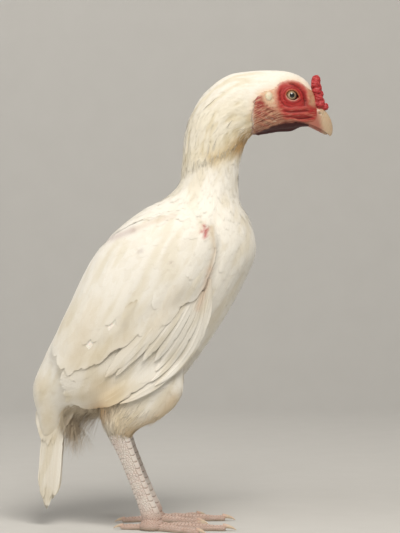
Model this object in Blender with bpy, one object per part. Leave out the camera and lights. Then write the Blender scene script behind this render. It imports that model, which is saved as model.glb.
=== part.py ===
"""A life-size heera aseel hen, standing.

Metres, +Z up. She faces +X with her left side at +Y, and her feet stand on Z = 0.
Places are given in the side view, as (x, z) in millimetres, and the function of each
section turns them into metres.
"""

import math

import bmesh
import bpy
import numpy as np
from mathutils import Matrix, Vector
from mathutils.noise import random as noise_random
from mathutils.noise import seed_set

MM = 0.001
GAP = 0.35  # clear space between two nodes that meet, in millimetres

# The body from the tip of the tail's core to the base of the bill. Each station is a slice
# across the bird: its back point, its front point, half its width and how square it is.
BODY = [
    # back x, back z, front x, front z, half width, squareness
    (-148, 96, -124, 98, 6, 2.0),  # tip of the tail's core
    (-153, 118, -116, 110, 13, 2.0),
    (-158, 147, -106, 119, 22, 2.1),  # root of the tail
    (-147, 177, -64, 119, 39, 2.1),  # rump and vent
    (-132, 207, -20, 134, 51, 2.2),
    (-114, 241, 14, 173, 59, 2.2),  # loin
    (-97, 276, 42, 212, 62, 2.2),
    (-76, 306, 63, 250, 62, 2.2),  # shoulders and breast
    (-46, 331, 79, 287, 55, 2.2),
    (-19, 346, 74, 318, 43, 2.2),  # base of the neck
    (-6, 360, 63, 340, 34, 2.1),
    (-1, 378, 61, 361, 30, 2.1),
    (0, 399, 63, 382, 29, 2.1),
    (3, 419, 68, 400, 30, 2.1),
    (12, 441, 74, 409, 30, 2.1),
    (27, 461, 80, 413, 28.5, 2.1),
    (48, 475, 89, 415, 26, 2.2),  # nape and throat
    (71, 479, 100, 417, 22.5, 2.3),
    (93, 480, 112, 417.5, 20, 2.4),  # crown and jaw
    (113, 478, 124, 419.5, 18, 2.4),
    (128.5, 470.5, 133, 420, 14, 2.3),  # brow
    (137, 458, 139.5, 418.5, 9.5, 2.2),
    (141, 442, 142, 417.5, 6.5, 2.1),  # base of the bill
]
TAIL_CUT = 2.3  # where the tail meets the torso, counted in stations
NECK_CUT = 9.6  # where the torso meets the neck
HEAD_CUT = 15.7  # where the neck meets the head
BODY_SIDES = 24  # points round a slice of the torso, the neck and the head
SLICES = {"torso": 17, "neck": 9, "head": 14, "tail": 7, "thigh": 10, "neck cutter": 8}

# The wing's arm lies on the torso. Each row gives the station, where the arm starts and
# ends as a share of the way from back to front, and how far it stands off the torso.
ARM = [
    # station, top share, bottom share, height in mm
    (3.05, 0.10, 0.20, 2.5),
    (3.5, 0.035, 0.38, 6.5),
    (4.0, 0.02, 0.44, 8.5),
    (4.6, 0.012, 0.55, 10.0),
    (5.3, 0.010, 0.64, 11.5),
    (6.0, 0.010, 0.71, 12.5),
    (6.6, 0.015, 0.755, 13.0),
    (7.2, 0.03, 0.74, 13.0),
    (7.8, 0.075, 0.69, 12.5),
    (8.3, 0.15, 0.63, 10.5),
    (8.75, 0.27, 0.53, 5.0),
]
ARM_ALONG = 13  # slices along the arm
ARM_ACROSS = 8  # points across it
ARM_DOME = (2.6, 0.6)  # how flat the arm's top is, and how round its edges are
ARM_RIM = 1.3  # thickness of the arm's rim, mm
ARM_SUNK = 4.0  # how deep it starts in the torso, before the torso is cut from it

# Tiers of wing feathers, from the outermost layer in. Roots and tips run along these
# lines of the side view, from the feather nearest the back to the one nearest the breast.
COVERTS = {
    "count": 7,
    "roots": [(-99, 208), (-70, 218), (-40, 236), (-12, 250), (10, 266)],
    "tips": [(-127, 163), (-97, 170), (-66, 189), (-38, 203), (-13, 222), (6, 241)],
    "width": 29, "height": 7.0, "tilt": 2.2, "sag": 0.05, "root_height": 8.2,
}
PINIONS = {
    "count": 2,
    "roots": [(3, 250), (10, 260)],
    "tips": [(-54, 177), (-22, 182)],
    "width": 19, "height": 5.2, "tilt": 1.6, "sag": 0.10, "root_height": 5.6,
}
SECONDARIES = {
    "count": 6,
    "roots": [(-86, 192), (-54, 212), (-26, 222), (-4, 238), (8, 250)],
    "tips": [(-127, 160), (-127, 150), (-121, 139), (-102, 138), (-76, 148)],
    "width": 30, "height": 2.9, "tilt": 2.0, "sag": 0.11, "root_height": 4.6,
}
PRIMARIES = {
    "count": 4,
    "roots": [(8, 252), (12, 261), (16, 269), (20, 276)],
    "tips": [(-58, 137), (-42, 145), (-26, 155), (0, 180)],
    "width": 17, "height": 1.3, "tilt": 1.5, "sag": 0.14, "root_height": 2.6,
}
VANE_THICK = 0.8  # thickness of a feather's web in the solids, mm
SHAFT_RISE = 0.45  # how much thicker it is along the shaft
VANE_OUTLINE = [(0, 0.35), (0.32, 0.95), (0.66, 1.0), (0.92, 0.86), (1.0, 0.36)]  # share, width
VANE_SETTLES = 0.45  # the share of its length at which a feather has come to its own height
# Where the body turns away under the wing's free edges, the wing goes straight on: it stands
# at least as far out as these places up the wing, less a share of the distance.
WING_BRIDGE = [0, 8, 16, 24, 32]
WING_DROOP = 0.42

# The tail hangs folded like a tent: a sheet on each side of the middle plane, outermost
# along its front edge, with the central feathers on top.
TAIL_REAR = [(-150, 150), (-147, 112), (-147, 90), (-151, 55), (-152, 20)]  # its rear edge
TAIL_SLOPE = 0.34  # how fast the sheet leaves the middle plane towards the front
TAIL_INNER = -0.5  # the two sheets run into each other by this much at the rear edge, mm
RECTRICES = {
    "count": 5,
    "roots": [(-140, 130), (-132, 127), (-123, 122)],
    "tips": [(-146, 29), (-141, 20.5), (-132.5, 32)],
    "width": 14.5, "height": 0.3, "tilt": 1.6, "sag": 0.02, "root_height": 0.3,
}
TAIL_COVERTS = {
    "count": 3,
    "roots": [(-145, 152), (-134, 142), (-122, 134)],
    "tips": [(-140, 86), (-131, 80), (-119, 108)],
    "width": 17, "height": 3.0, "tilt": 1.6, "sag": 0.03, "root_height": 2.5,
}

# The feathered thigh, from inside the body down to the hock, with its middle at THIGH_Y.
THIGH_Y = 33
THIGH_SIDES = 18
THIGH = [
    # back x, back z, front x, front z, half width, squareness
    (-52, 214, 10, 168, 14, 2.1),
    (-66, 190, 2, 142, 18, 2.1),
    (-78, 166, -8, 126, 18, 2.1),
    (-85, 145, -26, 113, 17, 2.1),
    (-86.5, 128, -42, 106, 15, 2.1),
    (-84, 113, -51, 98, 12.5, 2.1),
    (-79, 103, -56, 93, 9.5, 2.1),
]

# The bare leg, from the hock down to the ball of the foot.
HOCK = (-67, 34, 103)  # x, y, z of the hock joint
BALL = (-31, 37, 12.5)  # x, y, z of the ball of the foot
SHANK = [
    # share of the way down, half depth fore and aft, half width
    (-0.06, 8.0, 7.0),
    (0.03, 10.6, 8.6),
    (0.12, 9.6, 7.8),
    (0.26, 8.5, 6.7),
    (0.55, 8.2, 6.4),
    (0.80, 8.5, 6.8),
    (0.93, 9.5, 8.0),
    (1.03, 10.0, 9.2),
]
SHANK_SIDES = 10
SCUTES = {"count": 11, "from": 0.10, "to": 0.90, "filled": 0.9}  # shares of the way down
SCUTE_RISE = 0.55  # how far a plate's lower edge stands out, mm
BALL_SIZE = (12.6, 12.2, 10.5)  # half length, half width and half height of the ball
BALL_SIDES = 12
BALL_LEVELS = [(0.0, 0.72), (0.22, 0.95), (0.55, 1.0), (0.95, 0.86), (1.35, 0.6)]  # height, width
BALL_END_SPREAD = 8  # an end slice that is moved out by the gap spreads by the gap over this
TOES = {
    # heading from straight ahead (outwards is positive), length, half thickness, claw
    "inner": (-27, 47, 4.3, 12.5),
    "middle": (4, 68, 4.8, 13.5),
    "outer": (36, 52, 4.3, 12.0),
    "hind": (-166, 25, 3.9, 10.0),
}
TOE_START = 9.0  # distance from the ball's middle to a toe's root, inside the ball
TOE_SIDES = 8
TOE_PLATE = 11  # about the length of a toe's plate
TOE_PLATE_SPAN = (0.12, 0.95)  # where a plate begins and ends in its share of the toe
TOE_PLATED = 0.97  # the share of the toe that has plates
TOE_PLATE_RISE = 0.4
TOE_TAPER = 0.30  # how much thinner a toe is at its end
TOE_TIP = 0.62  # its last slice, as a share of that
TOE_PAD = 0.10  # how much its pads swell
TOE_WIDTH = 0.94  # width as a share of its height
TOE_MIDDLE = 0.86  # height of its middle over the floor, as a share of half its thickness
CLAW = {"points": 5, "turn": 62, "sunk": 3.0, "root": 0.52, "tip": 0.45, "sharp": 0.7,
        "height": 1.05, "drop": 0.62, "clear": 0.3}

# The head.
EYE = {"at": (114.5, 452.5), "radius": 6.7, "sunk": 4.9}
EYE_FACES = (12, 8)
LID = {"length": 7.3, "height": 6.1, "thick": 1.45, "round": 12, "across": 5, "depth": 0.1}
LOBE = {"at": (90.5, 450.5), "half": (4.7, 2.4, 5.4), "sunk": 0.5, "faces": (14, 8)}
BILL_FACES = {"top": (8, 12), "bottom": (7, 10)}  # slices, and points round each
BILL_TOP = [
    (133, 447, 126, 424.5, 8.6, 2.2),
    (142, 442, 133, 422.8, 8.4, 2.2),
    (150, 437, 141, 419.6, 6.9, 2.1),
    (155.6, 428.5, 147.6, 416.2, 4.9, 2.0),
    (157.9, 419.5, 152.6, 412.8, 2.7, 2.0),
    (157.3, 412.3, 155.3, 410.4, 0.9, 2.0),
]
BILL_BOTTOM = [
    (124, 427, 123, 417.5, 7.4, 2.2),
    (133, 423, 135, 415.4, 6.9, 2.1),
    (141, 419.5, 143.5, 413.0, 5.0, 2.0),
    (148.5, 416.0, 149.6, 411.4, 2.8, 2.0),
    (151.8, 413.4, 152.2, 411.6, 0.9, 2.0),
]
NOSTRIL = {"at": (145.2, 433.6), "half": (2.3, 1.6, 1.0), "turn": -38, "out": 0.2}
BROW = [(102, 457.5), (107, 462.5), (115, 464.5), (123.5, 461.5), (129.5, 454)]
CHEEK = [(100, 423.5), (110, 428), (121, 429.5), (130, 426.5)]
JAW = [(98, 417.5), (109, 421.5), (120, 422.5), (130, 420)]
RIDGE_RADIUS = {"brow": 2.0, "cheek": 1.7, "jaw": 1.6}
RIDGE_POINTS = 6
RIDGE_ENDS = 0.45  # thickness of a fold's ends as a share of its middle's
DEWLAP = {"at": (99, 418.5), "half": (22, 2.6, 4.0), "turn": 10}
# The pea comb is three rows of bulbs on a low base: a tall middle one and a low one on
# each side.
COMB_BASE = {"at": (141.8, 453.5), "half": (5.0, 4.6, 18.0), "turn": 13}
COMB_MIDDLE = [(140.2, 469.4), (141.6, 461.8), (143.2, 454.4), (145.0, 447.2), (149.2, 440.8)]
COMB_SIDE = [(140.4, 465.0), (141.6, 457.6), (143.2, 450.4), (145.8, 443.6)]
COMB_BULB = {"middle": 5.2, "side": 4.3, "out": 2.7, "uneven": 0.7, "narrow": 0.75,
             "first": 0.6, "seed": 7}

LOOKS = {
    # name: colour, roughness
    "feather": ((0.86, 0.83, 0.76), 0.75),
    "face": ((0.62, 0.13, 0.11), 0.55),
    "comb": ((0.66, 0.09, 0.10), 0.5),
    "lobe": ((0.90, 0.87, 0.74), 0.6),
    "bill": ((0.79, 0.66, 0.50), 0.4),
    "eye": ((0.66, 0.56, 0.40), 0.12),
    "leg": ((0.76, 0.66, 0.60), 0.5),
    "claw": ((0.74, 0.63, 0.52), 0.4),
}


def clear_scene():
    """Remove what the new file holds, so that only the hen is left."""
    for thing in list(bpy.data.objects):
        bpy.data.objects.remove(thing)


def make_material(name, colour, roughness):
    """A plain Principled material in one of the bird's colours."""
    made = bpy.data.materials.new(name)
    made.use_nodes = True
    shader = made.node_tree.nodes["Principled BSDF"]
    shader.inputs["Base Color"].default_value = (*colour, 1)
    shader.inputs["Roughness"].default_value = roughness
    shader.inputs["Metallic"].default_value = 0
    return made


def spline(rows, t):
    """The row at place t of a list of rows, on a smooth curve through all of them."""
    rows = np.asarray(rows, float)
    last = len(rows) - 1
    i = int(min(max(math.floor(t), 0), last - 1))
    u = t - i
    before, start = rows[max(i - 1, 0)], rows[i]
    end, after = rows[i + 1], rows[min(i + 2, last)]
    leave, arrive = (end - before) / 2, (after - start) / 2
    if i == 0:
        leave = end - start
    if i == last - 1:
        arrive = end - start
    return (
        (2 * u**3 - 3 * u**2 + 1) * start
        + (u**3 - 2 * u**2 + u) * leave
        + (3 * u**2 - 2 * u**3) * end
        + (u**3 - u**2) * arrive
    )


def along(points, share):
    """The point at a share of the way along a list of points."""
    return spline(points, share * (len(points) - 1))


class Loft:
    """A body made of slices, each from a back point to a front point of the side view."""

    FINE = 24  # slices for each station when looking a place up

    def __init__(self, stations, y_middle=0.0):
        self.stations = np.asarray(stations, float)
        self.y_middle = y_middle
        self.last = len(stations) - 1
        self.places = np.linspace(0, self.last, self.last * self.FINE + 1)
        self.fine = np.array([spline(self.stations, t) for t in self.places])

    def slice_at(self, t, grow=0.0):
        """Back point, front point, half width and squareness of the slice at t."""
        bx, bz, fx, fz, half, square = spline(self.stations, t)
        back, front = np.array([bx, bz]), np.array([fx, fz])
        out = (front - back) / np.linalg.norm(front - back) * grow
        return back - out, front + out, half + grow, square

    def ring(self, t, sides, grow=0.0):
        """The points of one slice, in millimetres."""
        back, front, half, square = self.slice_at(t, grow)
        points = []
        for k in range(sides):
            angle = 2 * math.pi * k / sides
            c, s = math.cos(angle), math.sin(angle)
            c = math.copysign(abs(c) ** (2 / square), c)
            s = math.copysign(abs(s) ** (2 / square), s)
            x, z = (back + front) / 2 - (front - back) / 2 * c
            points.append((x, self.y_middle + half * s, z))
        return points

    def rings(self, start, end, count, sides, grow=0.0):
        """Rings from place start to place end, with the two ends moved out by grow."""
        made = [self.ring(t, sides, grow) for t in np.linspace(start, end, count)]
        if grow:
            first, second = (np.mean(r, axis=0) for r in made[:2])
            before, final = (np.mean(r, axis=0) for r in made[-2:])
            lead = (first - second) / np.linalg.norm(first - second) * grow
            tail = (final - before) / np.linalg.norm(final - before) * grow
            made[0] = [tuple(np.array(p) + lead) for p in made[0]]
            made[-1] = [tuple(np.array(p) + tail) for p in made[-1]]
        return made

    def step_for(self, t, distance):
        """How far to move along the stations at t to travel a distance in millimetres."""
        ahead, behind = (np.mean(self.ring(t + d, 8), axis=0) for d in (0.05, -0.05))
        return distance * 0.1 / np.linalg.norm(ahead - behind)

    def side(self, x, z, grow=0.0):
        """How far the body, grown by so much, reaches out at a place of the side view."""
        back, front = self.fine[:, :2], self.fine[:, 2:4]
        length = np.linalg.norm(front - back, axis=1)
        unit = (front - back) / length[:, None]
        offset = np.array([x, z]) - (back - unit * grow)
        across = unit[:, 0] * offset[:, 1] - unit[:, 1] * offset[:, 0]
        share = (offset * unit).sum(axis=1) / (length + 2 * grow)
        crossing = np.nonzero((across[:-1] * across[1:] <= 0) & (np.abs(share[:-1] - 0.5) < 0.5))[0]
        reach = 0.0
        for i in crossing:
            square, half = self.fine[i, 5], self.fine[i, 4] + grow
            flat = 1 - abs(2 * share[i] - 1) ** square
            reach = max(reach, half * flat ** (1 / square))
        return self.y_middle + reach if reach else 0.0


HEN = Loft(BODY)
LEG = Loft(THIGH, THIGH_Y)


def new_object(name, mesh):
    """An object in the hen's collection."""
    made = bpy.data.objects.new(name, mesh)
    bpy.data.collections["heera_aseel_hen"].objects.link(made)
    return made


def solid_from_rings(name, rings):
    """A closed skin over rings of points given in millimetres, with flat ends."""
    mesh = bpy.data.meshes.new(name)
    bm = bmesh.new()
    loops = [[bm.verts.new(Vector(p) * MM) for p in ring] for ring in rings]
    sides = len(loops[0])
    for a, b in zip(loops, loops[1:]):
        for k in range(sides):
            n = (k + 1) % sides
            bm.faces.new((a[k], a[n], b[n], b[k]))
    bm.faces.new(loops[0])
    bm.faces.new(reversed(loops[-1]))
    bmesh.ops.recalc_face_normals(bm, faces=bm.faces)
    bm.to_mesh(mesh)
    bm.free()
    return new_object(name, mesh)


def solid_from_sheets(name, outer, inner):
    """A closed plate between two grids of points in millimetres, split alike on both."""
    rows, columns = len(outer), len(outer[0])
    mesh = bpy.data.meshes.new(name)
    bm = bmesh.new()
    top = [[bm.verts.new(Vector(p) * MM) for p in row] for row in outer]
    low = [[bm.verts.new(Vector(p) * MM) for p in row] for row in inner]
    for i in range(rows - 1):
        for j in range(columns - 1):
            for grid, turn in ((top, 1), (low, -1)):
                a, b = grid[i][j], grid[i][j + 1]
                c, d = grid[i + 1][j + 1], grid[i + 1][j]
                bm.faces.new((a, b, c)[::turn])
                bm.faces.new((a, c, d)[::turn])
    rim = [(i, 0) for i in range(rows)]
    rim += [(rows - 1, j) for j in range(1, columns)]
    rim += [(i, columns - 1) for i in range(rows - 2, -1, -1)]
    rim += [(0, j) for j in range(columns - 2, 0, -1)]
    for (i, j), (m, n) in zip(rim, rim[1:] + rim[:1]):
        bm.faces.new((top[i][j], top[m][n], low[m][n]))
        bm.faces.new((top[i][j], low[m][n], low[i][j]))
    bmesh.ops.recalc_face_normals(bm, faces=bm.faces)
    bm.to_mesh(mesh)
    bm.free()
    return new_object(name, mesh)


def ellipsoid(name, centre, half, turn=0.0, segments=16, rings=10):
    """A ball stretched to three half sizes and turned about Y by so many degrees."""
    bpy.ops.mesh.primitive_uv_sphere_add(segments=segments, ring_count=rings, radius=1)
    ball = bpy.context.object
    ball.name = name
    place = Matrix.Translation(Vector(centre) * MM)
    place @= Matrix.Rotation(math.radians(-turn), 4, "Y")
    place @= Matrix.Diagonal((*(Vector(half) * MM), 1))
    ball.data.transform(place)
    adopt(ball)
    return ball


def adopt(thing):
    """Move an object that an operator made into the hen's collection."""
    for owner in list(thing.users_collection):
        owner.objects.unlink(thing)
    bpy.data.collections["heera_aseel_hen"].objects.link(thing)


def tube(name, points, radii):
    """A round bar through points in millimetres, as a mesh with closed ends."""
    data = bpy.data.curves.new(name, "CURVE")
    data.dimensions = "3D"
    data.bevel_depth = MM
    data.bevel_resolution = 1
    data.use_fill_caps = True
    line = data.splines.new("POLY")
    line.points.add(len(points) - 1)
    for spot, p, r in zip(line.points, points, radii):
        spot.co = (*(Vector(p) * MM), 1)
        spot.radius = r
    bar = bpy.data.objects.new(name + "_line", data)
    bpy.data.collections["heera_aseel_hen"].objects.link(bar)
    bpy.context.view_layer.update()
    graph = bpy.context.evaluated_depsgraph_get()
    mesh = bpy.data.meshes.new_from_object(bar.evaluated_get(graph))
    bpy.data.objects.remove(bar)
    bm = bmesh.new()
    bm.from_mesh(mesh)
    bmesh.ops.remove_doubles(bm, verts=bm.verts, dist=0.00001)
    bmesh.ops.recalc_face_normals(bm, faces=bm.faces)
    bm.to_mesh(mesh)
    bm.free()
    return new_object(name, mesh)


def boolean(target, others, operation):
    """Join or cut one object with a collection of others, which are then removed."""
    group = bpy.data.collections.new(target.name + "_others")
    bpy.context.scene.collection.children.link(group)
    for other in others:
        for owner in list(other.users_collection):
            owner.objects.unlink(other)
        group.objects.link(other)
    step = target.modifiers.new(operation.lower(), "BOOLEAN")
    step.operation = operation
    step.operand_type = "COLLECTION"
    step.collection = group
    step.solver = "MANIFOLD"
    bpy.context.view_layer.update()
    graph = bpy.context.evaluated_depsgraph_get()
    mesh = bpy.data.meshes.new_from_object(target.evaluated_get(graph))
    target.modifiers.clear()
    target.data = mesh
    for other in others:
        bpy.data.objects.remove(other)
    bpy.data.collections.remove(group)
    keep_largest(target)
    return target


def keep_largest(thing):
    """Keep only the closed surface that takes the most room."""
    bm = bmesh.new()
    bm.from_mesh(thing.data)
    unseen, islands = set(bm.verts), []
    while unseen:
        front = [unseen.pop()]
        island = set(front)
        while front:
            for edge in front.pop().link_edges:
                for vert in edge.verts:
                    if vert in unseen:
                        unseen.discard(vert)
                        island.add(vert)
                        front.append(vert)
        islands.append(island)
    if len(islands) > 1:
        def room(island):
            places = np.array([v.co for v in island])
            return float(np.prod(places.max(axis=0) - places.min(axis=0)))

        largest = max(islands, key=room)
        bmesh.ops.delete(bm, geom=[v for v in bm.verts if v not in largest], context="VERTS")
        bm.to_mesh(thing.data)
    bm.free()


def finish(thing, name, look, smooth_to=40):
    """Name a finished node, give it its look and shade its round parts smooth."""
    thing.name = name
    thing.data.name = name
    thing.data.materials.clear()
    thing.data.materials.append(bpy.data.materials[look])
    thing.data.polygons.foreach_set("material_index", [0] * len(thing.data.polygons))
    thing.data.shade_smooth()
    thing.data.set_sharp_from_angle(angle=math.radians(smooth_to))
    return thing


def mirrored(thing, name):
    """A copy of an object on the other side of the middle plane."""
    mesh = thing.data.copy()
    mesh.transform(Matrix.Diagonal((1, -1, 1, 1)))
    mesh.flip_normals()
    copy = bpy.data.objects.new(name, mesh)
    mesh.name = name
    bpy.data.collections["heera_aseel_hen"].objects.link(copy)
    return copy


def skin_piece(name, start, end, slices, sides=BODY_SIDES, grow=0.0):
    """A length of the body between two stations."""
    return solid_from_rings(name, HEN.rings(start, end, slices, sides, grow))


def body_cutter():
    """The torso grown by the gap, to cut what lies on it or grows from it."""
    return skin_piece("body_cutter", TAIL_CUT, NECK_CUT, SLICES["torso"], grow=GAP)


def make_torso():
    start = TAIL_CUT + HEN.step_for(TAIL_CUT, GAP / 2)
    end = NECK_CUT - HEN.step_for(NECK_CUT, GAP / 2)
    finish(skin_piece("torso", start, end, SLICES["torso"]), "torso", "feather")


def make_neck():
    start = NECK_CUT + HEN.step_for(NECK_CUT, GAP / 2)
    end = HEAD_CUT - HEN.step_for(HEAD_CUT, GAP / 2)
    finish(skin_piece("neck", start, end, SLICES["neck"]), "neck", "feather")


def on_head(x, z, depth=0.0):
    """A place on the left cheek, so deep under the skin, and the way the skin faces there."""
    step = 1.5
    y = HEN.side(x, z)
    slope_x = (HEN.side(x + step, z) - HEN.side(x - step, z)) / (2 * step)
    slope_z = (HEN.side(x, z + step) - HEN.side(x, z - step)) / (2 * step)
    facing = Vector((-slope_x, 1, -slope_z)).normalized()
    return Vector((x, y, z)) - facing * depth, facing


def eye_centre():
    return on_head(*EYE["at"], EYE["sunk"])


def make_ball_of_eye(name, grow=0.0):
    centre, _ = eye_centre()
    return ellipsoid(name, centre, [EYE["radius"] + grow] * 3, 0, *EYE_FACES)


def make_lid():
    """The swollen rim of the eyelids, a ring laid on the cheek round the eye."""
    centre, facing = on_head(*EYE["at"], LID["depth"])
    share = 0.2
    bpy.ops.mesh.primitive_torus_add(
        major_segments=LID["round"], minor_segments=LID["across"],
        major_radius=1, minor_radius=share,
    )
    ring = bpy.context.object
    ring.name = "lid"
    size = Vector((LID["length"], LID["height"], LID["thick"] / share)) * MM
    turn = facing.to_track_quat("Z", "Y").to_matrix().to_4x4()
    ring.data.transform(Matrix.Translation(centre * MM) @ turn @ Matrix.Diagonal((*size, 1)))
    adopt(ring)
    return ring


def make_ridge(name, places):
    """A soft fold of skin laid along the cheek, half sunk in it."""
    radius = RIDGE_RADIUS[name]
    shares = [i / (RIDGE_POINTS - 1) for i in range(RIDGE_POINTS)]
    points = [on_head(*along(places, s), radius / 2)[0] for s in shares]
    swell = 1 - RIDGE_ENDS
    radii = [radius * (RIDGE_ENDS + swell * math.sin(math.pi * s)) for s in shares]
    return tube(name, points, radii)


def make_head():
    """The skull with its lids, brows, mouth lines, dewlap and eye sockets."""
    start = HEAD_CUT + HEN.step_for(HEAD_CUT, GAP / 2)
    head = skin_piece("head", start, HEN.last, SLICES["head"])
    pieces = [make_lid(), make_ridge("brow", BROW), make_ridge("cheek", CHEEK)]
    pieces.append(make_ridge("jaw", JAW))
    pieces += [mirrored(piece, piece.name + "_other") for piece in pieces]
    x, z = DEWLAP["at"]
    pieces.append(ellipsoid("dewlap", (x, 0, z), DEWLAP["half"], DEWLAP["turn"], 12, 6))
    boolean(head, pieces, "UNION")
    socket = make_ball_of_eye("socket", GAP)
    end = HEAD_CUT - HEN.step_for(HEAD_CUT, GAP)
    neck = skin_piece("neck_cutter", HEAD_CUT - 3, end, SLICES["neck cutter"], grow=GAP)
    boolean(head, [socket, mirrored(socket, "socket_other"), neck], "DIFFERENCE")
    finish(head, "head", "face")


def head_cutter():
    """The bare head grown by the gap, to cut what grows from it."""
    return skin_piece("head_cutter", HEAD_CUT, HEN.last, SLICES["head"], grow=GAP)


def bill_cutter():
    """The upper bill grown by the gap, to cut the lower bill and the comb."""
    top = Loft(BILL_TOP)
    return solid_from_rings("bill_cutter", top.rings(0, top.last, *BILL_FACES["top"], GAP))


def make_bill():
    """Upper and lower bill, each cut to meet the face and, the lower, the upper one."""
    top, bottom = Loft(BILL_TOP), Loft(BILL_BOTTOM)
    upper = solid_from_rings("bill_upper", top.rings(0, top.last, *BILL_FACES["top"]))
    boolean(upper, [head_cutter()], "DIFFERENCE")
    x, z = NOSTRIL["at"]
    holes = [
        ellipsoid("nostril", (x, side * (top.side(x, z) + NOSTRIL["out"]), z),
                  NOSTRIL["half"], NOSTRIL["turn"], 10, 6)
        for side in (1, -1)
    ]
    boolean(upper, holes, "DIFFERENCE")
    lower = solid_from_rings("bill_lower", bottom.rings(0, bottom.last, *BILL_FACES["bottom"]))
    boolean(lower, [head_cutter(), bill_cutter()], "DIFFERENCE")
    finish(upper, "bill_upper", "bill")
    finish(lower, "bill_lower", "bill")


def make_comb():
    """The pea comb: rows of bulbs that run together over the base of the bill."""
    seed_set(COMB_BULB["seed"])
    bulbs = []
    rows = [(COMB_MIDDLE, 0, COMB_BULB["middle"])]
    rows += [(COMB_SIDE, side * COMB_BULB["out"], COMB_BULB["side"]) for side in (1, -1)]
    for places, y, radius in rows:
        for n, (x, z) in enumerate(places):
            wobble = COMB_BULB["uneven"] * (noise_random() - 0.5)
            size = radius + wobble - (COMB_BULB["first"] if n == 0 else 0)
            half = (size, size * COMB_BULB["narrow"], size)
            bulbs.append(ellipsoid("bulb", (x, y + wobble, z), half, 0, 7, 5))
    x, z = COMB_BASE["at"]
    comb = ellipsoid("base", (x, 0, z), COMB_BASE["half"], COMB_BASE["turn"], 8, 6)
    boolean(comb, bulbs, "UNION")
    boolean(comb, [head_cutter(), bill_cutter()], "DIFFERENCE")
    finish(comb, "comb", "comb", 60)


def make_eyes_and_lobes():
    eye = finish(make_ball_of_eye("eye_left"), "eye_left", "eye")
    mirrored(eye, "eye_right")
    centre, _ = on_head(*LOBE["at"], LOBE["sunk"])
    lobe = ellipsoid("lobe_left", centre, LOBE["half"], 0, *LOBE["faces"])
    boolean(lobe, [head_cutter()], "DIFFERENCE")
    finish(lobe, "lobe_left", "lobe")
    mirrored(lobe, "lobe_right")


def wing_chart(x, z, height):
    """The place at a height over the body's left side, thigh included, in the side view."""
    reach = 0.0
    for distance in WING_BRIDGE:
        place = (x - distance * math.sqrt(0.5), z + distance * math.sqrt(0.5))
        body = max(HEN.side(*place, GAP + height), LEG.side(*place, GAP + height))
        reach = max(reach, body - WING_DROOP * distance)
    return (x, reach, z)


def tail_chart(x, z, height):
    """The place at a height over the folded tail's left sheet."""
    places = np.array(TAIL_REAR[::-1], float)
    rear = float(np.interp(z, places[:, 1], places[:, 0]))
    return (x, TAIL_INNER + TAIL_SLOPE * max(x - rear, 0) + height, z)


def make_vane(name, chart, root, tip, tier):
    """One feather: a thin plate that leaves its root inside the node and lies on a chart.

    Its edge nearer the back lies low, under the feather before it, and the other edge is
    raised by the tilt, over the next feather.
    """
    root, tip = np.array(root, float), np.array(tip, float)
    way = tip - root
    length = np.linalg.norm(way)
    way /= length
    down = np.array([-way[1], way[0]])
    if down @ np.array([1.0, -1.0]) < 0:
        down = -down
    outer, inner = [], []
    for u, full in VANE_OUTLINE:
        middle = root + way * length * u + down * tier["sag"] * length * 4 * u * (1 - u)
        half = tier["width"] / 2 * full
        settle = min(1, u / VANE_SETTLES)
        base = tier["root_height"] + (tier["height"] - tier["root_height"]) * settle
        top_row, low_row = [], []
        for q in (-1, 0, 1):
            x, z = middle + down * half * q
            lift = base + tier["tilt"] * (q + 1) / 2 * settle * full
            thick = VANE_THICK + (SHAFT_RISE if q == 0 else 0)
            low_row.append(chart(x, z, lift))
            top_row.append(chart(x, z, lift + thick))
        outer.append(top_row)
        inner.append(low_row)
    return solid_from_sheets(name, outer, inner)


def make_tier(name, chart, tier):
    """All the feathers of one tier of the left side."""
    made = []
    for n in range(tier["count"]):
        share = n / (tier["count"] - 1)
        root, tip = along(tier["roots"], share), along(tier["tips"], share)
        made.append(make_vane(f"{name}_{n}", chart, root, tip, tier))
    return made


def make_arm():
    """The smooth arm of the left wing, a low dome that lies on the torso."""
    outer, inner = [], []
    flat, edge = ARM_DOME
    for i in range(ARM_ALONG):
        t, top, bottom, height = along(ARM, i / (ARM_ALONG - 1))
        first, last = (math.acos(1 - 2 * share) for share in (top, bottom))
        outer_row, inner_row = [], []
        for j in range(ARM_ACROSS):
            v = j / (ARM_ACROSS - 1)
            angle = first + (last - first) * v
            dome = (1 - abs(2 * v - 1) ** flat) ** edge
            lift = ARM_RIM + (height - ARM_RIM) * dome
            for row, grow in ((outer_row, GAP + lift), (inner_row, -ARM_SUNK)):
                back, front, half, square = HEN.slice_at(t, grow)
                x, z = (back + front) / 2 - (front - back) / 2 * math.cos(angle)
                y = half * (1 - abs(math.cos(angle)) ** square) ** (1 / square)
                row.append((x, y, z))
        outer.append(outer_row)
        inner.append(inner_row)
    return solid_from_sheets("arm", outer, inner)


def make_wings():
    """Each wing is one solid: the arm with all the tiers of its feathers."""
    wing = make_arm()
    feathers = make_tier("covert", wing_chart, COVERTS)
    feathers += make_tier("pinion", wing_chart, PINIONS)
    feathers += make_tier("secondary", wing_chart, SECONDARIES)
    feathers += make_tier("primary", wing_chart, PRIMARIES)
    boolean(wing, feathers, "UNION")
    boolean(wing, [body_cutter(), thigh_cutter()], "DIFFERENCE")
    finish(wing, "wing_left", "feather", 30)
    mirrored(wing, "wing_right")


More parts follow.
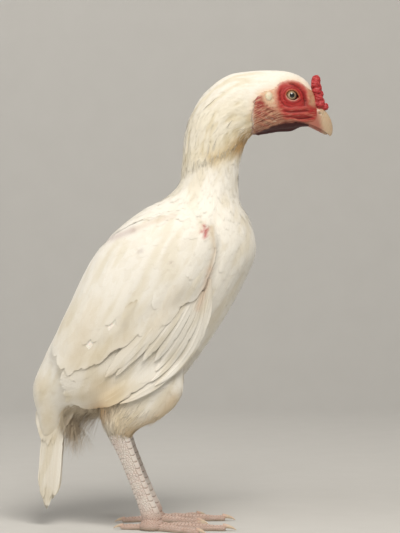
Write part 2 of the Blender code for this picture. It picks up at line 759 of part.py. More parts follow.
def make_tail():
    """The tail's core with its coverts and its pairs of long feathers."""
    end = TAIL_CUT - HEN.step_for(TAIL_CUT, GAP / 2)
    tail = skin_piece("tail", 0, end, SLICES["tail"], 16)
    feathers = make_tier("rectrix", tail_chart, RECTRICES)
    feathers += make_tier("tail_covert", tail_chart, TAIL_COVERTS)
    feathers += [mirrored(feather, feather.name + "_other") for feather in feathers]
    boolean(tail, feathers, "UNION")
    boolean(tail, [body_cutter()], "DIFFERENCE")
    finish(tail, "tail", "feather", 30)


def shank_rings(grow=0.0, scutes=True):
    """Rings down the bare leg. In front each plate rises to its lower edge."""
    hock, ball = Vector(HOCK), Vector(BALL)
    way = (ball - hock).normalized()
    fore = Vector((0, 1, 0)).cross(way).normalized()
    fore = -fore if fore.x < 0 else fore
    across = way.cross(fore)
    beyond = grow / (ball - hock).length
    first, last = SHANK[0][0] - beyond, SHANK[-1][0] + beyond
    steps = [(first, 0)]
    plate = (SCUTES["to"] - SCUTES["from"]) / SCUTES["count"]
    for n in range(SCUTES["count"]):
        start = SCUTES["from"] + plate * n
        steps += [(start, 0), (start + plate * SCUTES["filled"], 1)]
    steps += [(SHANK[-2][0], 0), (last, 0)]
    sizes = np.array(SHANK)
    rings = []
    for share, raised in steps:
        depth = np.interp(share, sizes[:, 0], sizes[:, 1]) + grow
        width = np.interp(share, sizes[:, 0], sizes[:, 2]) + grow
        middle = hock + (ball - hock) * share
        ring = []
        for k in range(SHANK_SIDES):
            angle = 2 * math.pi * (k + 0.5) / SHANK_SIDES
            c, s = math.cos(angle), math.sin(angle)
            lift = SCUTE_RISE * raised * max(c, 0) ** 0.5 if scutes else 0
            ring.append(middle + fore * (depth + lift) * c + across * (width + lift) * s)
        rings.append(ring)
    return rings


def thigh_cutter():
    """The thigh grown by the gap, to cut the wing that lies on it."""
    rings = LEG.rings(0, LEG.last, SLICES["thigh"], THIGH_SIDES, GAP)
    return solid_from_rings("thigh_cutter", rings)


def shank_cutter():
    """The bare leg grown by the gap, to cut the thigh and the toes."""
    return solid_from_rings("shank_cutter", shank_rings(GAP + SCUTE_RISE, False))


def make_thigh():
    """The feathered thigh, cut to meet the body above and the bare leg below."""
    thigh = solid_from_rings("thigh", LEG.rings(0, LEG.last, SLICES["thigh"], THIGH_SIDES))
    boolean(thigh, [body_cutter(), shank_cutter()], "DIFFERENCE")
    finish(thigh, "thigh_left", "feather")
    mirrored(thigh, "thigh_right")


def flattened(rings):
    """Rings with nothing below the floor, so that what rests has a flat sole."""
    return [[(p[0], p[1], max(p[2], 0.0)) for p in ring] for ring in rings]


def ball_rings(grow=0.0):
    """The ball of the foot as rings from its sole up."""
    length, width = BALL_SIZE[0] + grow, BALL_SIZE[1] + grow
    x, y, _ = BALL
    rings = []
    bottom, top = BALL_LEVELS[0][0], BALL_LEVELS[-1][0]
    for level, swell in BALL_LEVELS:
        z = BALL_SIZE[2] * level
        if level in (bottom, top):
            z += math.copysign(grow, level - 1)
            swell *= 1 + grow / BALL_END_SPREAD
        ring = []
        for k in range(BALL_SIDES):
            angle = 2 * math.pi * k / BALL_SIDES
            ring.append((x + length * swell * math.cos(angle),
                         y + width * swell * math.sin(angle), z))
        rings.append(ring)
    return rings


def make_shank():
    """The bare leg and the ball of the foot in one piece."""
    shank = solid_from_rings("shank", shank_rings())
    ball = solid_from_rings("ball", ball_rings())
    boolean(shank, [ball], "UNION")
    finish(shank, "shank_left", "leg", 25)
    mirrored(shank, "shank_right")


def toe_frame(heading):
    """The way a toe of the left foot points, and its left, in the floor's plane."""
    angle = math.radians(heading)
    way = Vector((math.cos(angle), math.sin(angle), 0))
    return way, Vector((-way.y, way.x, 0))


def toe_rings(heading, length, thick, grow=0.0):
    """Rings along one toe: padded below, plated above, flat where it rests."""
    way, left = toe_frame(heading)
    root = Vector((BALL[0], BALL[1], 0)) + way * TOE_START
    plates = max(3, round(length / TOE_PLATE))
    steps = [(0.0, 0)]
    for n in range(plates):
        begins, ends = ((n + part) / plates * TOE_PLATED for part in TOE_PLATE_SPAN)
        steps += [(begins, 0), (ends, 1)]
    steps.append((1.0, 0))
    rings = []
    for share, raised in steps:
        taper = 1 - TOE_TAPER * share
        pad = 1 + TOE_PAD * math.cos(math.pi * share * plates)
        if share == 1.0:
            taper *= TOE_TIP
        half = thick * taper * pad + grow
        height = thick * taper * TOE_MIDDLE
        middle = root + way * length * share
        ring = []
        for k in range(TOE_SIDES):
            angle = 2 * math.pi * (k + 0.5) / TOE_SIDES
            c, s = math.cos(angle), math.sin(angle)
            lift = TOE_PLATE_RISE * raised * max(s, 0)
            spot = middle + left * half * TOE_WIDTH * c
            ring.append((spot.x, spot.y, height + (half + lift) * s))
        rings.append(ring)
    return rings


def make_claw(name, heading, length, thick, claw):
    """A curved, tapering claw that comes out of the toe's end and down to the floor."""
    way, _ = toe_frame(heading)
    root = Vector((BALL[0], BALL[1], 0)) + way * (TOE_START + length - CLAW["sunk"])
    points, radii = [], []
    full_turn = math.radians(CLAW["turn"])
    for i in range(CLAW["points"]):
        u = i / (CLAW["points"] - 1)
        bend = claw / full_turn
        reach = bend * math.sin(full_turn * u) + CLAW["sunk"] * u
        drop = bend * (1 - math.cos(full_turn * u))
        radius = thick * CLAW["root"] * (1 - u) ** CLAW["sharp"] + CLAW["tip"]
        height = max(thick * CLAW["height"] - drop * CLAW["drop"], radius + CLAW["clear"])
        points.append(root + way * reach + Vector((0, 0, height)))
        radii.append(radius)
    made = tube(name, points, radii)
    grown = solid_from_rings("toe_cutter", toe_rings(heading, length + GAP, thick, GAP))
    boolean(made, [grown], "DIFFERENCE")
    return made


def make_feet():
    """Four toes and four claws for each foot."""
    for name, (heading, length, thick, claw) in TOES.items():
        toe = solid_from_rings(f"toe_{name}", flattened(toe_rings(heading, length, thick)))
        ball = solid_from_rings("ball_cutter", ball_rings(GAP))
        cutters = [ball, shank_cutter()]
        if name in ("inner", "outer"):
            heading, length, thick, _ = TOES["middle"]
            cutters.append(
                solid_from_rings("middle_cutter", toe_rings(heading, length, thick, GAP))
            )
        boolean(toe, cutters, "DIFFERENCE")
        finish(toe, f"toe_{name}_left", "leg", 25)
        mirrored(toe, f"toe_{name}_right")
        nail = make_claw(f"claw_{name}", *TOES[name])
        finish(nail, f"claw_{name}_left", "claw", 50)
        mirrored(nail, f"claw_{name}_right")


def main():
    clear_scene()
    group = bpy.data.collections.new("heera_aseel_hen")
    bpy.context.scene.collection.children.link(group)
    for name, (colour, roughness) in LOOKS.items():
        make_material(name, colour, roughness)
    make_torso()
    make_neck()
    make_head()
    make_bill()
    make_comb()
    make_eyes_and_lobes()
    make_wings()
    make_tail()
    make_thigh()
    make_shank()
    make_feet()


main()
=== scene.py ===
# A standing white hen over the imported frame: one skin, her feathers, the bare face, the comb,
# the bill, the eyes and the feet. Places are in millimetres until a mesh is made.
import math

import bmesh
import bpy
import numpy as np
from mathutils import Matrix, Vector, noise
from mathutils.bvhtree import BVHTree


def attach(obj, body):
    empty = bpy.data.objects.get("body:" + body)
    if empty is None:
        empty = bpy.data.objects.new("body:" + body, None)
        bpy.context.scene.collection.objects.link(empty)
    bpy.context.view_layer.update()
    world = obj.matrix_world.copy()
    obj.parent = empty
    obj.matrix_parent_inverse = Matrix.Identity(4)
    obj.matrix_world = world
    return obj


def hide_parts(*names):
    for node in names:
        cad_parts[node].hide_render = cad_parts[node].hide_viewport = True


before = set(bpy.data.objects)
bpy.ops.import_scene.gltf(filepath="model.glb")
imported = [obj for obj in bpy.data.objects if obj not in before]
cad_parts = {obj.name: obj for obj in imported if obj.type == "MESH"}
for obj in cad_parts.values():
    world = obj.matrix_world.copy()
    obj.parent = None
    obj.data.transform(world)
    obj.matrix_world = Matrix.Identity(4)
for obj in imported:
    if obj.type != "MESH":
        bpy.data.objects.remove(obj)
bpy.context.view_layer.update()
bpy.ops.object.select_all(action="DESELECT")
print("frame loaded")

mm = 0.001
rng = np.random.default_rng(23)
sideName = {1: "Left", -1: "Right"}

# the body as in the part's source: back x and z, front x and z, half width, squareness
henShape = {
    "stations": np.array([
        (-148, 96, -124, 98, 6, 2.0), (-153, 118, -116, 110, 13, 2.0),
        (-158, 147, -106, 119, 22, 2.1), (-147, 177, -64, 119, 39, 2.1),
        (-132, 207, -20, 134, 51, 2.2), (-114, 241, 14, 173, 59, 2.2),
        (-97, 276, 42, 212, 62, 2.2), (-76, 306, 63, 250, 62, 2.2),
        (-46, 331, 79, 287, 55, 2.2), (-19, 346, 74, 318, 43, 2.2),
        (-6, 360, 63, 340, 34, 2.1), (-1, 378, 61, 361, 30, 2.1),
        (0, 399, 63, 382, 29, 2.1), (3, 419, 68, 400, 30, 2.1),
        (12, 441, 74, 409, 30, 2.1), (27, 461, 80, 413, 28.5, 2.1),
        (48, 475, 89, 415, 26, 2.2), (71, 479, 100, 417, 22.5, 2.3),
        (93, 480, 112, 417.5, 20, 2.4), (113, 478, 124, 419.5, 18, 2.4),
        (128.5, 470.5, 133, 420, 14, 2.3), (137, 458, 139.5, 418.5, 9.5, 2.2),
        (141, 442, 142, 417.5, 6.5, 2.1)], float),
    "thigh": np.array([
        (-52, 214, 10, 168, 14, 2.1), (-66, 190, 2, 142, 18, 2.1), (-78, 166, -8, 126, 18, 2.1),
        (-85, 145, -26, 113, 17, 2.1), (-86.5, 128, -42, 106, 15, 2.1),
        (-84, 113, -51, 98, 12.5, 2.1), (-79, 103, -56, 93, 9.5, 2.1)], float),
    # how far out the thigh's middle lies
    "thighMiddle": 33,
    # the folded arm of the wing: place along the stations, top share, bottom share, height
    "arm": np.array([
        (3.05, 0.10, 0.20, 2.5), (3.5, 0.035, 0.38, 6.5), (4.0, 0.02, 0.44, 8.5),
        (4.6, 0.012, 0.55, 10.0), (5.3, 0.010, 0.64, 11.5), (6.0, 0.010, 0.71, 12.5),
        (6.6, 0.015, 0.755, 13.0), (7.2, 0.03, 0.74, 13.0), (7.8, 0.075, 0.69, 12.5),
        (8.3, 0.15, 0.63, 10.5), (8.75, 0.27, 0.53, 5.0)], float),
    # how flat the arm's top is and how soft its edges are
    "armDome": (2.6, 0.6),
    # where the body, the neck and the head begin along the stations
    "zones": (3.0, 9.4, 15.4),
    # furrows between the wing's arm and the body: line in the side view, half width, depth
    "furrows": [([(-84, 300), (-51.5, 312), (-30.5, 321), (-13.7, 327.6), (4, 330), (20, 327)],
                 2.6, 0.9),
                ([(20, 327), (33, 318), (41.5, 306), (42, 292), (37.5, 270), (30, 248),
                  (22, 232)], 3.0, 1.7)],
    # sides of the skin's rings, and the rings' distance along the stations
    "ringSides": 176, "ringSteps": [(0, 2.6), (14.5, 2.6), (16.5, 0.8), (22, 0.7)],
    # how deep the feathers' bed lies under the solids' surface, along the stations
    "bedDepth": [(0, 1.0), (2, 1.9), (9.6, 1.9), (12, 2.0), (15, 1.6), (17, 0.9), (22, 0.6)],
    # what is added to it everywhere; the thigh's bed, how much deeper its upper end lies and
    # over how many stations; rows and sides of its grid
    "skinDepth": 0.2, "thighDepth": 1.8, "thighTop": (6.5, 1.1), "thighGrid": (60, 64),
}
# where the long feathers of the upper neck end in a fold over the smooth lower neck
neckFold = {
    "line": [(-20, 364), (-1, 371), (19, 380), (33, 386), (46, 391), (57, 398), (67, 408),
             (77, 415)],
    # height of the step, share of it below the line, how ragged its line is and over how much
    "step": 1.1, "below": 0.6, "ragged": (3.0, 7),
    # how far the step fades above and below its line
    "fades": (34, 22),
}
# soft ridges of the coat along its lie
coatRidge = {
    # pivot of the neck's turn and how long its noise is drawn round it; the body's lie
    "pivot": (82, 400), "arc": 60, "lie": (0.46, 0.89),
    # height, size across, stretch, share of the finer ones
    "neck": (1.0, 6.0, (0.24, 1, 1), 0.5), "body": (0.8, 10.0, (0.20, 1, 0.7), 0.4),
}

# bare skin of the head and its markings, as outlines in the side view
face = {
    "bare": [(77, 447), (82, 454), (88, 457), (94, 457.5), (99, 461), (104, 466), (111, 468.6),
             (121, 467.5), (127, 463.5), (131, 460), (134, 458), (138, 456), (142, 455),
             (150, 440), (146, 415), (110, 412), (76, 409), (74, 430)],
    "red": [(98.7, 455.7), (100.3, 462.5), (105, 467.3), (111.3, 469.6), (120.8, 467.8),
            (127.6, 462.5), (131, 454.7), (131.6, 446), (134, 441.5), (142, 440), (144, 432),
            (140, 426.3), (126, 424.7), (113.4, 426.8), (105, 430.5),
            (101.9, 437.9), (99.8, 445.2)],
    "tan": [(130.5, 467), (134.5, 467), (142, 463), (141, 447), (138.5, 443), (132.5, 443),
            (131, 452)],
    # painted shade: the dark red groove in front of the eye
    "front": [(122, 461), (126, 458), (130.5, 450), (131.6, 441.5), (128.5, 439.5), (125.5, 444),
              (126.5, 450), (123.5, 456)],
    "pale": [(80, 462), (98, 464), (99, 450), (98, 441), (90, 437), (83, 441)],
    "streaky": [(74, 449), (82, 451), (88, 443), (95, 439), (101, 436), (107, 431),
                (110, 428), (99, 424.2), (84, 415.8), (74, 411)],
    "redStreak": [(76.5, 451), (82, 451), (85, 444), (86, 433), (80, 430), (76, 434)],
    # the throat, painted almost black over its red skin as the shade under the jaw
    "throat": [(70, 409), (78, 413.6), (96, 421), (105.6, 424.2), (123.4, 424.8), (136.2, 421.6),
               (140, 419), (140, 408), (60, 400)],
}
# folds of the head's skin: line in the side view, half width, height (a groove is negative)
faceFolds = [
    ([(110, 465.4), (116.5, 463.8), (121.8, 459.8), (126.2, 453.4), (128.6, 446.8),
      (128.4, 440.0)], 1.3, -1.3),
    ([(106, 468), (109.2, 468.8), (117.6, 467.6), (125, 463.2), (130.6, 456.4), (132.6, 448.6),
      (131.4, 441)], 2.1, 1.1),
    ([(105, 462), (102, 455), (102.8, 447.3), (107.1, 441.6), (114, 440)], 0.9, -0.7),
    ([(103, 440.2), (113.4, 437.6), (123.9, 438.6), (134, 440)], 1.9, 1.0),
    ([(104, 437), (113.4, 434.9), (123.9, 435.8), (134, 437.2)], 0.8, -0.6),
    ([(98, 434.7), (111.3, 432.6), (123.9, 433), (136, 433.4)], 1.7, 1.0),
    ([(113.4, 430), (121.8, 427.9), (130.2, 428.6), (138.5, 430.2)], 0.8, -1.1),
    ([(104, 427.4), (115.5, 428.6), (124, 426), (134, 424.4)], 1.4, 0.8),
    ([(102, 424.2), (115.5, 425), (127, 423.4), (136.5, 421)], 0.8, -0.7),
    ([(82, 436.5), (90, 432.5), (99.5, 427.2)], 1.0, 0.6),
    ([(79, 430.5), (88, 426.5), (97, 422.6)], 1.0, 0.7),
    ([(78, 424), (87, 421), (94, 418.6)], 1.0, 0.7),
    ([(84, 442), (92, 438.5), (100, 436)], 1.1, 0.7),
    ([(97, 462), (99.5, 453), (99, 444), (101, 438)], 1.2, 0.5),
    ([(85, 459.5), (92, 458), (97, 453), (97.5, 446), (93, 441.5)], 1.1, 0.45),
]
eye = {
    "at": (114.5, 452.5), "radius": 6.7, "sunk": 4.9,
    # the cornea: height and radius; the socket: radius, softness of its edge, depth
    "bulge": (0.75, 4.9), "socket": (8.6, 2.6, 4.2),
    # radii between which the iris darkens, its dark ring begins and the pupil ends
    "iris": (3.0, 4.9), "ring": (4.55, 5.15), "pupil": (2.35, 2.65),
}
skinLooks = {
    "under": (0.88, 0.83, 0.74), "bare": (0.48, 0.22, 0.14), "red": (0.37, 0.023, 0.021),
    "tan": (0.50, 0.28, 0.17), "streaky": (0.38, 0.18, 0.11), "redStreak": (0.31, 0.042, 0.035),
    # the throat and the front are painted shade: under the jaw, and in the groove before the eye
    "throat": (0.050, 0.004, 0.005), "pale": (0.62, 0.44, 0.30), "front": (0.24, 0.010, 0.010),
    # painted shade in the furrows and painted highlight on the crests of the folds; the light and
    # the dark of the streaks
    "furrowShade": (0.19, 0.013, 0.012), "crestHighlight": (0.54, 0.11, 0.085),
    "lightStreak": (0.54, 0.34, 0.22), "darkStreak": (0.18, 0.032, 0.026),
}


def smooth(value):
    # 0 up to 0, 1 from 1 on, and soft between them
    value = np.clip(value, 0, 1)
    return value * value * (3 - 2 * value)


def splineAt(rows, t):
    # the rows' values at places t, on a smooth curve through all of them
    rows = np.asarray(rows, float)
    t = np.atleast_1d(np.asarray(t, float))
    last = len(rows) - 1
    i = np.clip(np.floor(t).astype(int), 0, last - 1)
    u = (t - i)[:, None]
    before, start = rows[np.maximum(i - 1, 0)], rows[i]
    end, after = rows[i + 1], rows[np.minimum(i + 2, last)]
    leave = np.where((i == 0)[:, None], end - start, (end - before) / 2)
    arrive = np.where((i == last - 1)[:, None], end - start, (after - start) / 2)
    return ((2 * u**3 - 3 * u**2 + 1) * start + (u**3 - 2 * u**2 + u) * leave
            + (3 * u**2 - 2 * u**3) * end + (u**3 - u**2) * arrive)


def unit(ways):
    # the same ways, each one long
    return ways / np.linalg.norm(ways, axis=1)[:, None]


def lineDistance(places, line, closed=False):
    # distance of flat places from a line of points, or from the outline that it closes
    line = np.asarray(line, float)
    starts, ends = (line, np.roll(line, -1, 0)) if closed else (line[:-1], line[1:])
    best = np.full(len(places), 1e9)
    for a, b in zip(starts, ends):
        way = b - a
        share = np.clip(((places - a) @ way) / (way @ way), 0, 1)
        best = np.minimum(best, np.linalg.norm(places - a - share[:, None] * way, axis=1))
    return best


def inside(places, outline, edge):
    # 1 well inside an outline and 0 outside, soft across its edge
    outline = np.asarray(outline, float)
    x, z = places[:, 0], places[:, 1]
    odd = np.zeros(len(places), bool)
    for (ax, az), (bx, bz) in zip(outline, np.roll(outline, -1, 0)):
        crosses = (az > z) != (bz > z)
        odd ^= crosses & (x < (bx - ax) * (z - az) / (bz - az + 1e-12) + ax)
    far = lineDistance(places, outline, True)
    return smooth(0.5 + np.where(odd, far, -far) / edge)


def noiseAt(points, size, seed=0.0, stretch=(1, 1, 1)):
    # soft noise from about -1 to 1, whose features are so many millimetres across
    scaled = np.asarray(points) * (np.array(stretch) / size) + seed * 7.31
    return np.array([noise.noise(Vector(p)) for p in scaled])


def loftPoints(stations, t, angle, grow, yMiddle=0.0):
    # points round the sections of a body, grown outwards; the angle starts at its back
    bx, bz, fx, fz, half, square = splineAt(stations, t).T
    back, front = np.stack([bx, bz], 1), np.stack([fx, fz], 1)
    unit = (front - back) / np.linalg.norm(front - back, axis=1)[:, None]
    grow = np.broadcast_to(np.asarray(grow, float), t.shape)
    back, front = back - unit * grow[:, None], front + unit * grow[:, None]
    c, s = np.cos(angle), np.sin(angle)
    xz = (back + front) / 2 - (front - back) / 2 * c[:, None]
    flat = np.clip(1 - np.abs(c) ** square, 0, 1) ** (1 / square)
    return np.stack([xz[:, 0], yMiddle + (half + grow) * np.sign(s) * flat, xz[:, 1]], 1)


def overLine(flat, line):
    # how far places of the side view lie over a line
    line = np.array(line, float)
    return flat[:, 1] - np.interp(flat[:, 0], line[:, 0], line[:, 1])


def armLift(t, angle):
    # how far the folded arm of the wing stands off the torso
    rows = splineAt(henShape["arm"], np.linspace(0, len(henShape["arm"]) - 1, 300))
    top, bottom, height = (np.interp(t, rows[:, 0], rows[:, k]) for k in (1, 2, 3))
    first, last = (np.arccos(1 - 2 * np.clip(share, 0.004, 0.99)) for share in (top, bottom))
    fromBack = np.abs((angle + math.pi) % (2 * math.pi) - math.pi)
    v = (fromBack - first) / (last - first)
    flat, edge = henShape["armDome"]
    dome = np.clip(1 - np.abs(2 * v - 1) ** flat, 0, 1) ** edge
    return height * dome * smooth((t - 3.05) / 0.35) * smooth((8.95 - t) / 0.4)


def foldLift(places, t):
    # the upper neck stands a little over the lower neck along the fold
    ragged, size = neckFold["ragged"]
    over = overLine(places[:, [0, 2]], neckFold["line"]) + ragged * noiseAt(places, size, 51)
    zone = smooth((t - 9.4) / 0.8) * smooth((16.5 - t) / 1.5)
    above = smooth((over + 2.5) / 6)
    up, down = neckFold["fades"]
    return zone * neckFold["step"] * (
        above * np.exp(-np.maximum(over, 0) / up)
        - neckFold["below"] * (1 - above) * np.exp(np.minimum(over, 0) / down))


def coatGrain(places):
    # noise drawn out along the lie of the neck's and the body's feathers, and 1 on the neck
    x, y, z = places.T
    px, pz = coatRidge["pivot"]
    a, b = coatRidge["lie"]
    grains = []
    for part, run, off, seed in (
            ("neck", np.arctan2(z - pz, px - x) * coatRidge["arc"], np.hypot(x - px, z - pz), 41),
            ("body", a * x + b * z, b * x - a * z, 43)):
        _, size, stretch, finer = coatRidge[part]
        lines = np.stack([run, off, y], 1)
        grains.append(noiseAt(lines, size, seed, stretch)
                      + finer * noiseAt(lines, size / 2, seed + 1, stretch))
    return (*grains, smooth((z + 0.45 * x - 372) / 30))


def coatRidges(places, t):
    # height of the coat's soft ridges over its bed
    neck, body, upper = coatGrain(places)
    zone = smooth((t - 1.5) / 2) * smooth((17.0 - t) / 2.5)
    return zone * (coatRidge["neck"][0] * neck * upper + coatRidge["body"][0] * body * (1 - upper))


def foldNear(flat, line, width):
    # 1 on a fold's line, less to its sides and its ends
    ends = np.minimum(*(np.hypot(*(flat - np.array(line[k])).T) for k in (0, -1)))
    return np.exp(-(lineDistance(flat, line) / width) ** 2) * smooth(0.1 + ends / 8)


def bareness(places):
    # 1 on the bare skin of the head, the same on both sides
    return inside(places[:, [0, 2]], face["bare"], 3.0)


def bodySurface(t, angle):
    # the bed that the feathers lie on, which is the skin itself where it is bare
    t, angle = np.asarray(t, float), np.asarray(angle, float)
    arm = armLift(t, angle)
    first = loftPoints(henShape["stations"], t, angle, arm)
    depth = np.interp(t, *np.array(henShape["bedDepth"]).T) * (1 - bareness(first))
    for line, width, deep in henShape["furrows"]:
        far = lineDistance(first[:, [0, 2]], line)
        depth += deep * np.exp(-(far / width) ** 2) * smooth((np.abs(first[:, 1]) - 8) / 8)
    return loftPoints(henShape["stations"], t, angle,
                      arm - depth + foldLift(first, t) + coatRidges(first, t)
                      - henShape["skinDepth"])


def thighPoints(t, angle, grow=0.0):
    # the bed of the thigh's feathers, whose upper end is rounded into the body
    t = np.asarray(t, float)
    sunk, share = henShape["thighTop"]
    return loftPoints(henShape["thigh"], t, angle,
                      grow - henShape["thighDepth"] - sunk * (1 - smooth(t / share)),
                      henShape["thighMiddle"])


def speedAt(t):
    # millimetres travelled for each station, at the faster of the back and the front
    ahead, behind = splineAt(henShape["stations"], [t + 0.02, t - 0.02])
    way = (ahead - behind) / 0.04
    return max(np.hypot(way[0], way[1]), np.hypot(way[2], way[3]))


def ringPlaces():
    # where the skin's rings lie along the stations
    t, places, last = 0.0, [0.0], len(henShape["stations"]) - 1
    steps = np.array(henShape["ringSteps"]).T
    while t < last - 0.01:
        t = min(last, t + np.interp(t, *steps) / speedAt(t))
        places.append(t)
    return np.array(places)


def gridFaces(rows, columns, closed=True):
    # quads over a grid of points, that close round where the grid is a tube
    i, j = np.meshgrid(np.arange(rows - 1), np.arange(columns if closed else columns - 1),
                       indexing="ij")
    i, j = i.ravel(), j.ravel()
    n = (j + 1) % columns
    return np.stack([i * columns + j, (i + 1) * columns + j, (i + 1) * columns + n,
                     i * columns + n], 1)


def tubeFaces(rows, sides):
    # a tube's faces, closed at both ends
    return [*gridFaces(rows, sides).tolist(), list(range(sides)),
            list(range(rows * sides - 1, (rows - 1) * sides - 1, -1))]


def makePiece(name, points, faces, maps=None, numbers=None, colours=None):
    # a mesh object from points in millimetres, with its UV maps and attributes
    mesh = bpy.data.meshes.new(name)
    mesh.from_pydata((np.asarray(points) * mm).tolist(), [],
                     faces.tolist() if isinstance(faces, np.ndarray) else faces)
    corners = np.empty(len(mesh.loops), np.int32)
    mesh.loops.foreach_get("vertex_index", corners)
    for key, values in (maps or {}).items():
        layer = mesh.uv_layers.new(name=key)
        layer.data.foreach_set("uv", np.asarray(values, np.float32)[corners].ravel())
    piece = bpy.data.objects.new(name, mesh)
    bpy.context.scene.collection.objects.link(piece)
    setAttributes(piece, numbers, colours)
    mesh.shade_smooth()
    return piece


def setAttributes(piece, numbers=None, colours=None):
    # store numbers and colours at a piece's points, for its material
    mesh = piece.data
    for key, values in (numbers or {}).items():
        layer = mesh.attributes.get(key) or mesh.attributes.new(key, "FLOAT", "POINT")
        layer.data.foreach_set("value", np.asarray(values, np.float32))
    for key, values in (colours or {}).items():
        layer = mesh.attributes.get(key) or mesh.attributes.new(key, "FLOAT_COLOR", "POINT")
        full = np.ones((len(mesh.vertices), 4), np.float32)
        full[:, :3] = values
        layer.data.foreach_set("color", full.ravel())


def pointsOf(piece):
    # vertex places in millimetres, and their normals
    places = np.empty(len(piece.data.vertices) * 3)
    piece.data.vertices.foreach_get("co", places)
    facing = np.empty(len(piece.data.vertices) * 3)
    piece.data.vertex_normals.foreach_get("vector", facing)
    return places.reshape(-1, 3) / mm, facing.reshape(-1, 3)


def movePoints(piece, places):
    # places in millimetres
    piece.data.vertices.foreach_set("co", (np.asarray(places) * mm).ravel())
    piece.data.update()


def selectOnly(*things):
    # the first of them becomes the active one
    bpy.ops.object.select_all(action="DESELECT")
    for thing in things:
        thing.select_set(True)
    bpy.context.view_layer.objects.active = things[0]


def faceOut(piece):
    # turn the faces of a closed piece outwards
    selectOnly(piece)
    bpy.ops.object.mode_set(mode="EDIT")
    bpy.ops.mesh.select_all(action="SELECT")
    bpy.ops.mesh.normals_make_consistent(inside=False)
    bpy.ops.object.mode_set(mode="OBJECT")


def applyStep(piece, kind, **settings):
    # add a modifier, set it and apply it
    selectOnly(piece)
    step = piece.modifiers.new(kind.lower(), kind)
    for key, value in settings.items():
        setattr(step, key, value)
    bpy.ops.object.modifier_apply(modifier=step.name)
    return piece


def hollowness(piece):
    # how far each vertex lies under the middle of its neighbours, in millimetres
    places, facing = pointsOf(piece)
    ends = np.empty(len(piece.data.edges) * 2, np.int32)
    piece.data.edges.foreach_get("vertices", ends)
    a, b = ends.reshape(-1, 2).T
    count = np.bincount(np.concatenate([a, b]), minlength=len(places))[:, None]
    near = places.copy()
    for _ in range(2):
        total = np.zeros_like(near)
        np.add.at(total, a, near[b])
        np.add.at(total, b, near[a])
        near = total / np.maximum(count, 1)
    return ((near - places) * facing).sum(1)


def mirroredCopy(piece, name):
    # the same piece on the other side
    mesh = piece.data.copy()
    mesh.name = name
    mesh.transform(Matrix.Diagonal((1, -1, 1, 1)))
    mesh.flip_normals()
    copy = bpy.data.objects.new(name, mesh)
    bpy.context.scene.collection.objects.link(copy)
    return copy


class Wire:
    # one output of a node, so that maths on it reads as maths
    def __init__(self, finish, socket):
        self.finish, self.socket = finish, socket

    def maths(self, operation, other=None, swapped=False):
        pair = (other, self) if swapped else (self, other)
        values = {k: v for k, v in enumerate(pair) if v is not None}
        return self.finish.node("ShaderNodeMath", {"operation": operation}, values)

    def __add__(self, other):
        return self.maths("ADD", other)

    def __radd__(self, other):
        return self.maths("ADD", other, True)

    def __sub__(self, other):
        return self.maths("SUBTRACT", other)

    def __rsub__(self, other):
        return self.maths("SUBTRACT", other, True)

    def __mul__(self, other):
        return self.maths("MULTIPLY", other)

    def __rmul__(self, other):
        return self.maths("MULTIPLY", other, True)


class Finish:
    # one material and its nodes
    def __init__(self, name, settings):
        self.material = bpy.data.materials.new(name)
        self.material.use_nodes = True
        self.tree = self.material.node_tree
        self.shader = self.tree.nodes["Principled BSDF"]
        for key, value in settings.items():
            self.shader.inputs[key].default_value = value

    def node(self, kind, settings=None, sockets=None, out=0):
        made = self.tree.nodes.new(kind)
        for key, value in (settings or {}).items():
            setattr(made, key, value)
        for key, value in (sockets or {}).items():
            if isinstance(value, Wire):
                self.tree.links.new(value.socket, made.inputs[key])
            else:
                made.inputs[key].default_value = value
        return Wire(self, made.outputs[out])

    def mix(self, share, first, second, blend="MIX"):
        values = {0: share}
        for key, value in ((6, first), (7, second)):
            values[key] = value if isinstance(value, Wire) else (*value, 1)
        return self.node("ShaderNodeMix", {"data_type": "RGBA", "blend_type": blend}, values, 2)

    def wash(self, tint, strength, value, low, high, colour, blend="MIX"):
        # lay a colour over the tint where the value is high
        return self.mix(self.band(value, low, high) * strength, tint, colour, blend)

    def noise(self, size, detail):
        # noise whose features are so many millimetres across
        return self.node("ShaderNodeTexNoise", None, {
            "Vector": self.node("ShaderNodeTexCoord", out=3), "Scale": 1000 / size,
            "Detail": detail})

    def lineNoise(self, place, detail):
        # noise along one number
        return self.node("ShaderNodeTexNoise", {"noise_dimensions": "1D"}, {
            "W": place, "Scale": 1.0, "Detail": detail})

    def cells(self, size):
        # distance from the middles of cells that are so many millimetres across
        return self.node("ShaderNodeTexVoronoi", None, {
            "Vector": self.node("ShaderNodeTexCoord", out=3), "Scale": 1000 / size})

    def attribute(self, name, out=2):
        return self.node("ShaderNodeAttribute", {"attribute_name": name}, out=out)

    def band(self, value, low, high):
        # 0 under the low end and 1 over the high end
        return self.node("ShaderNodeMapRange", {"interpolation_type": "SMOOTHSTEP"},
                         {0: value, 1: low, 2: high})

    def bump(self, height, depth):
        # relief of so many millimetres
        return self.node("ShaderNodeBump", None, {
            "Height": height, "Distance": depth * mm, "Strength": 1.0})

    def plug(self, **wires):
        names = {"colour": "Base Color", "roughness": "Roughness", "normal": "Normal"}
        for key, wire in wires.items():
            self.tree.links.new(wire.socket, self.shader.inputs[names[key]])
        return self.material


def dress(piece, material, slot, *nodes):
    # give a piece its material and its place in the frame
    piece.data.materials.clear()
    piece.data.materials.append(material)
    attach(piece, "root")
    if nodes:
        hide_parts(*nodes)
    return piece


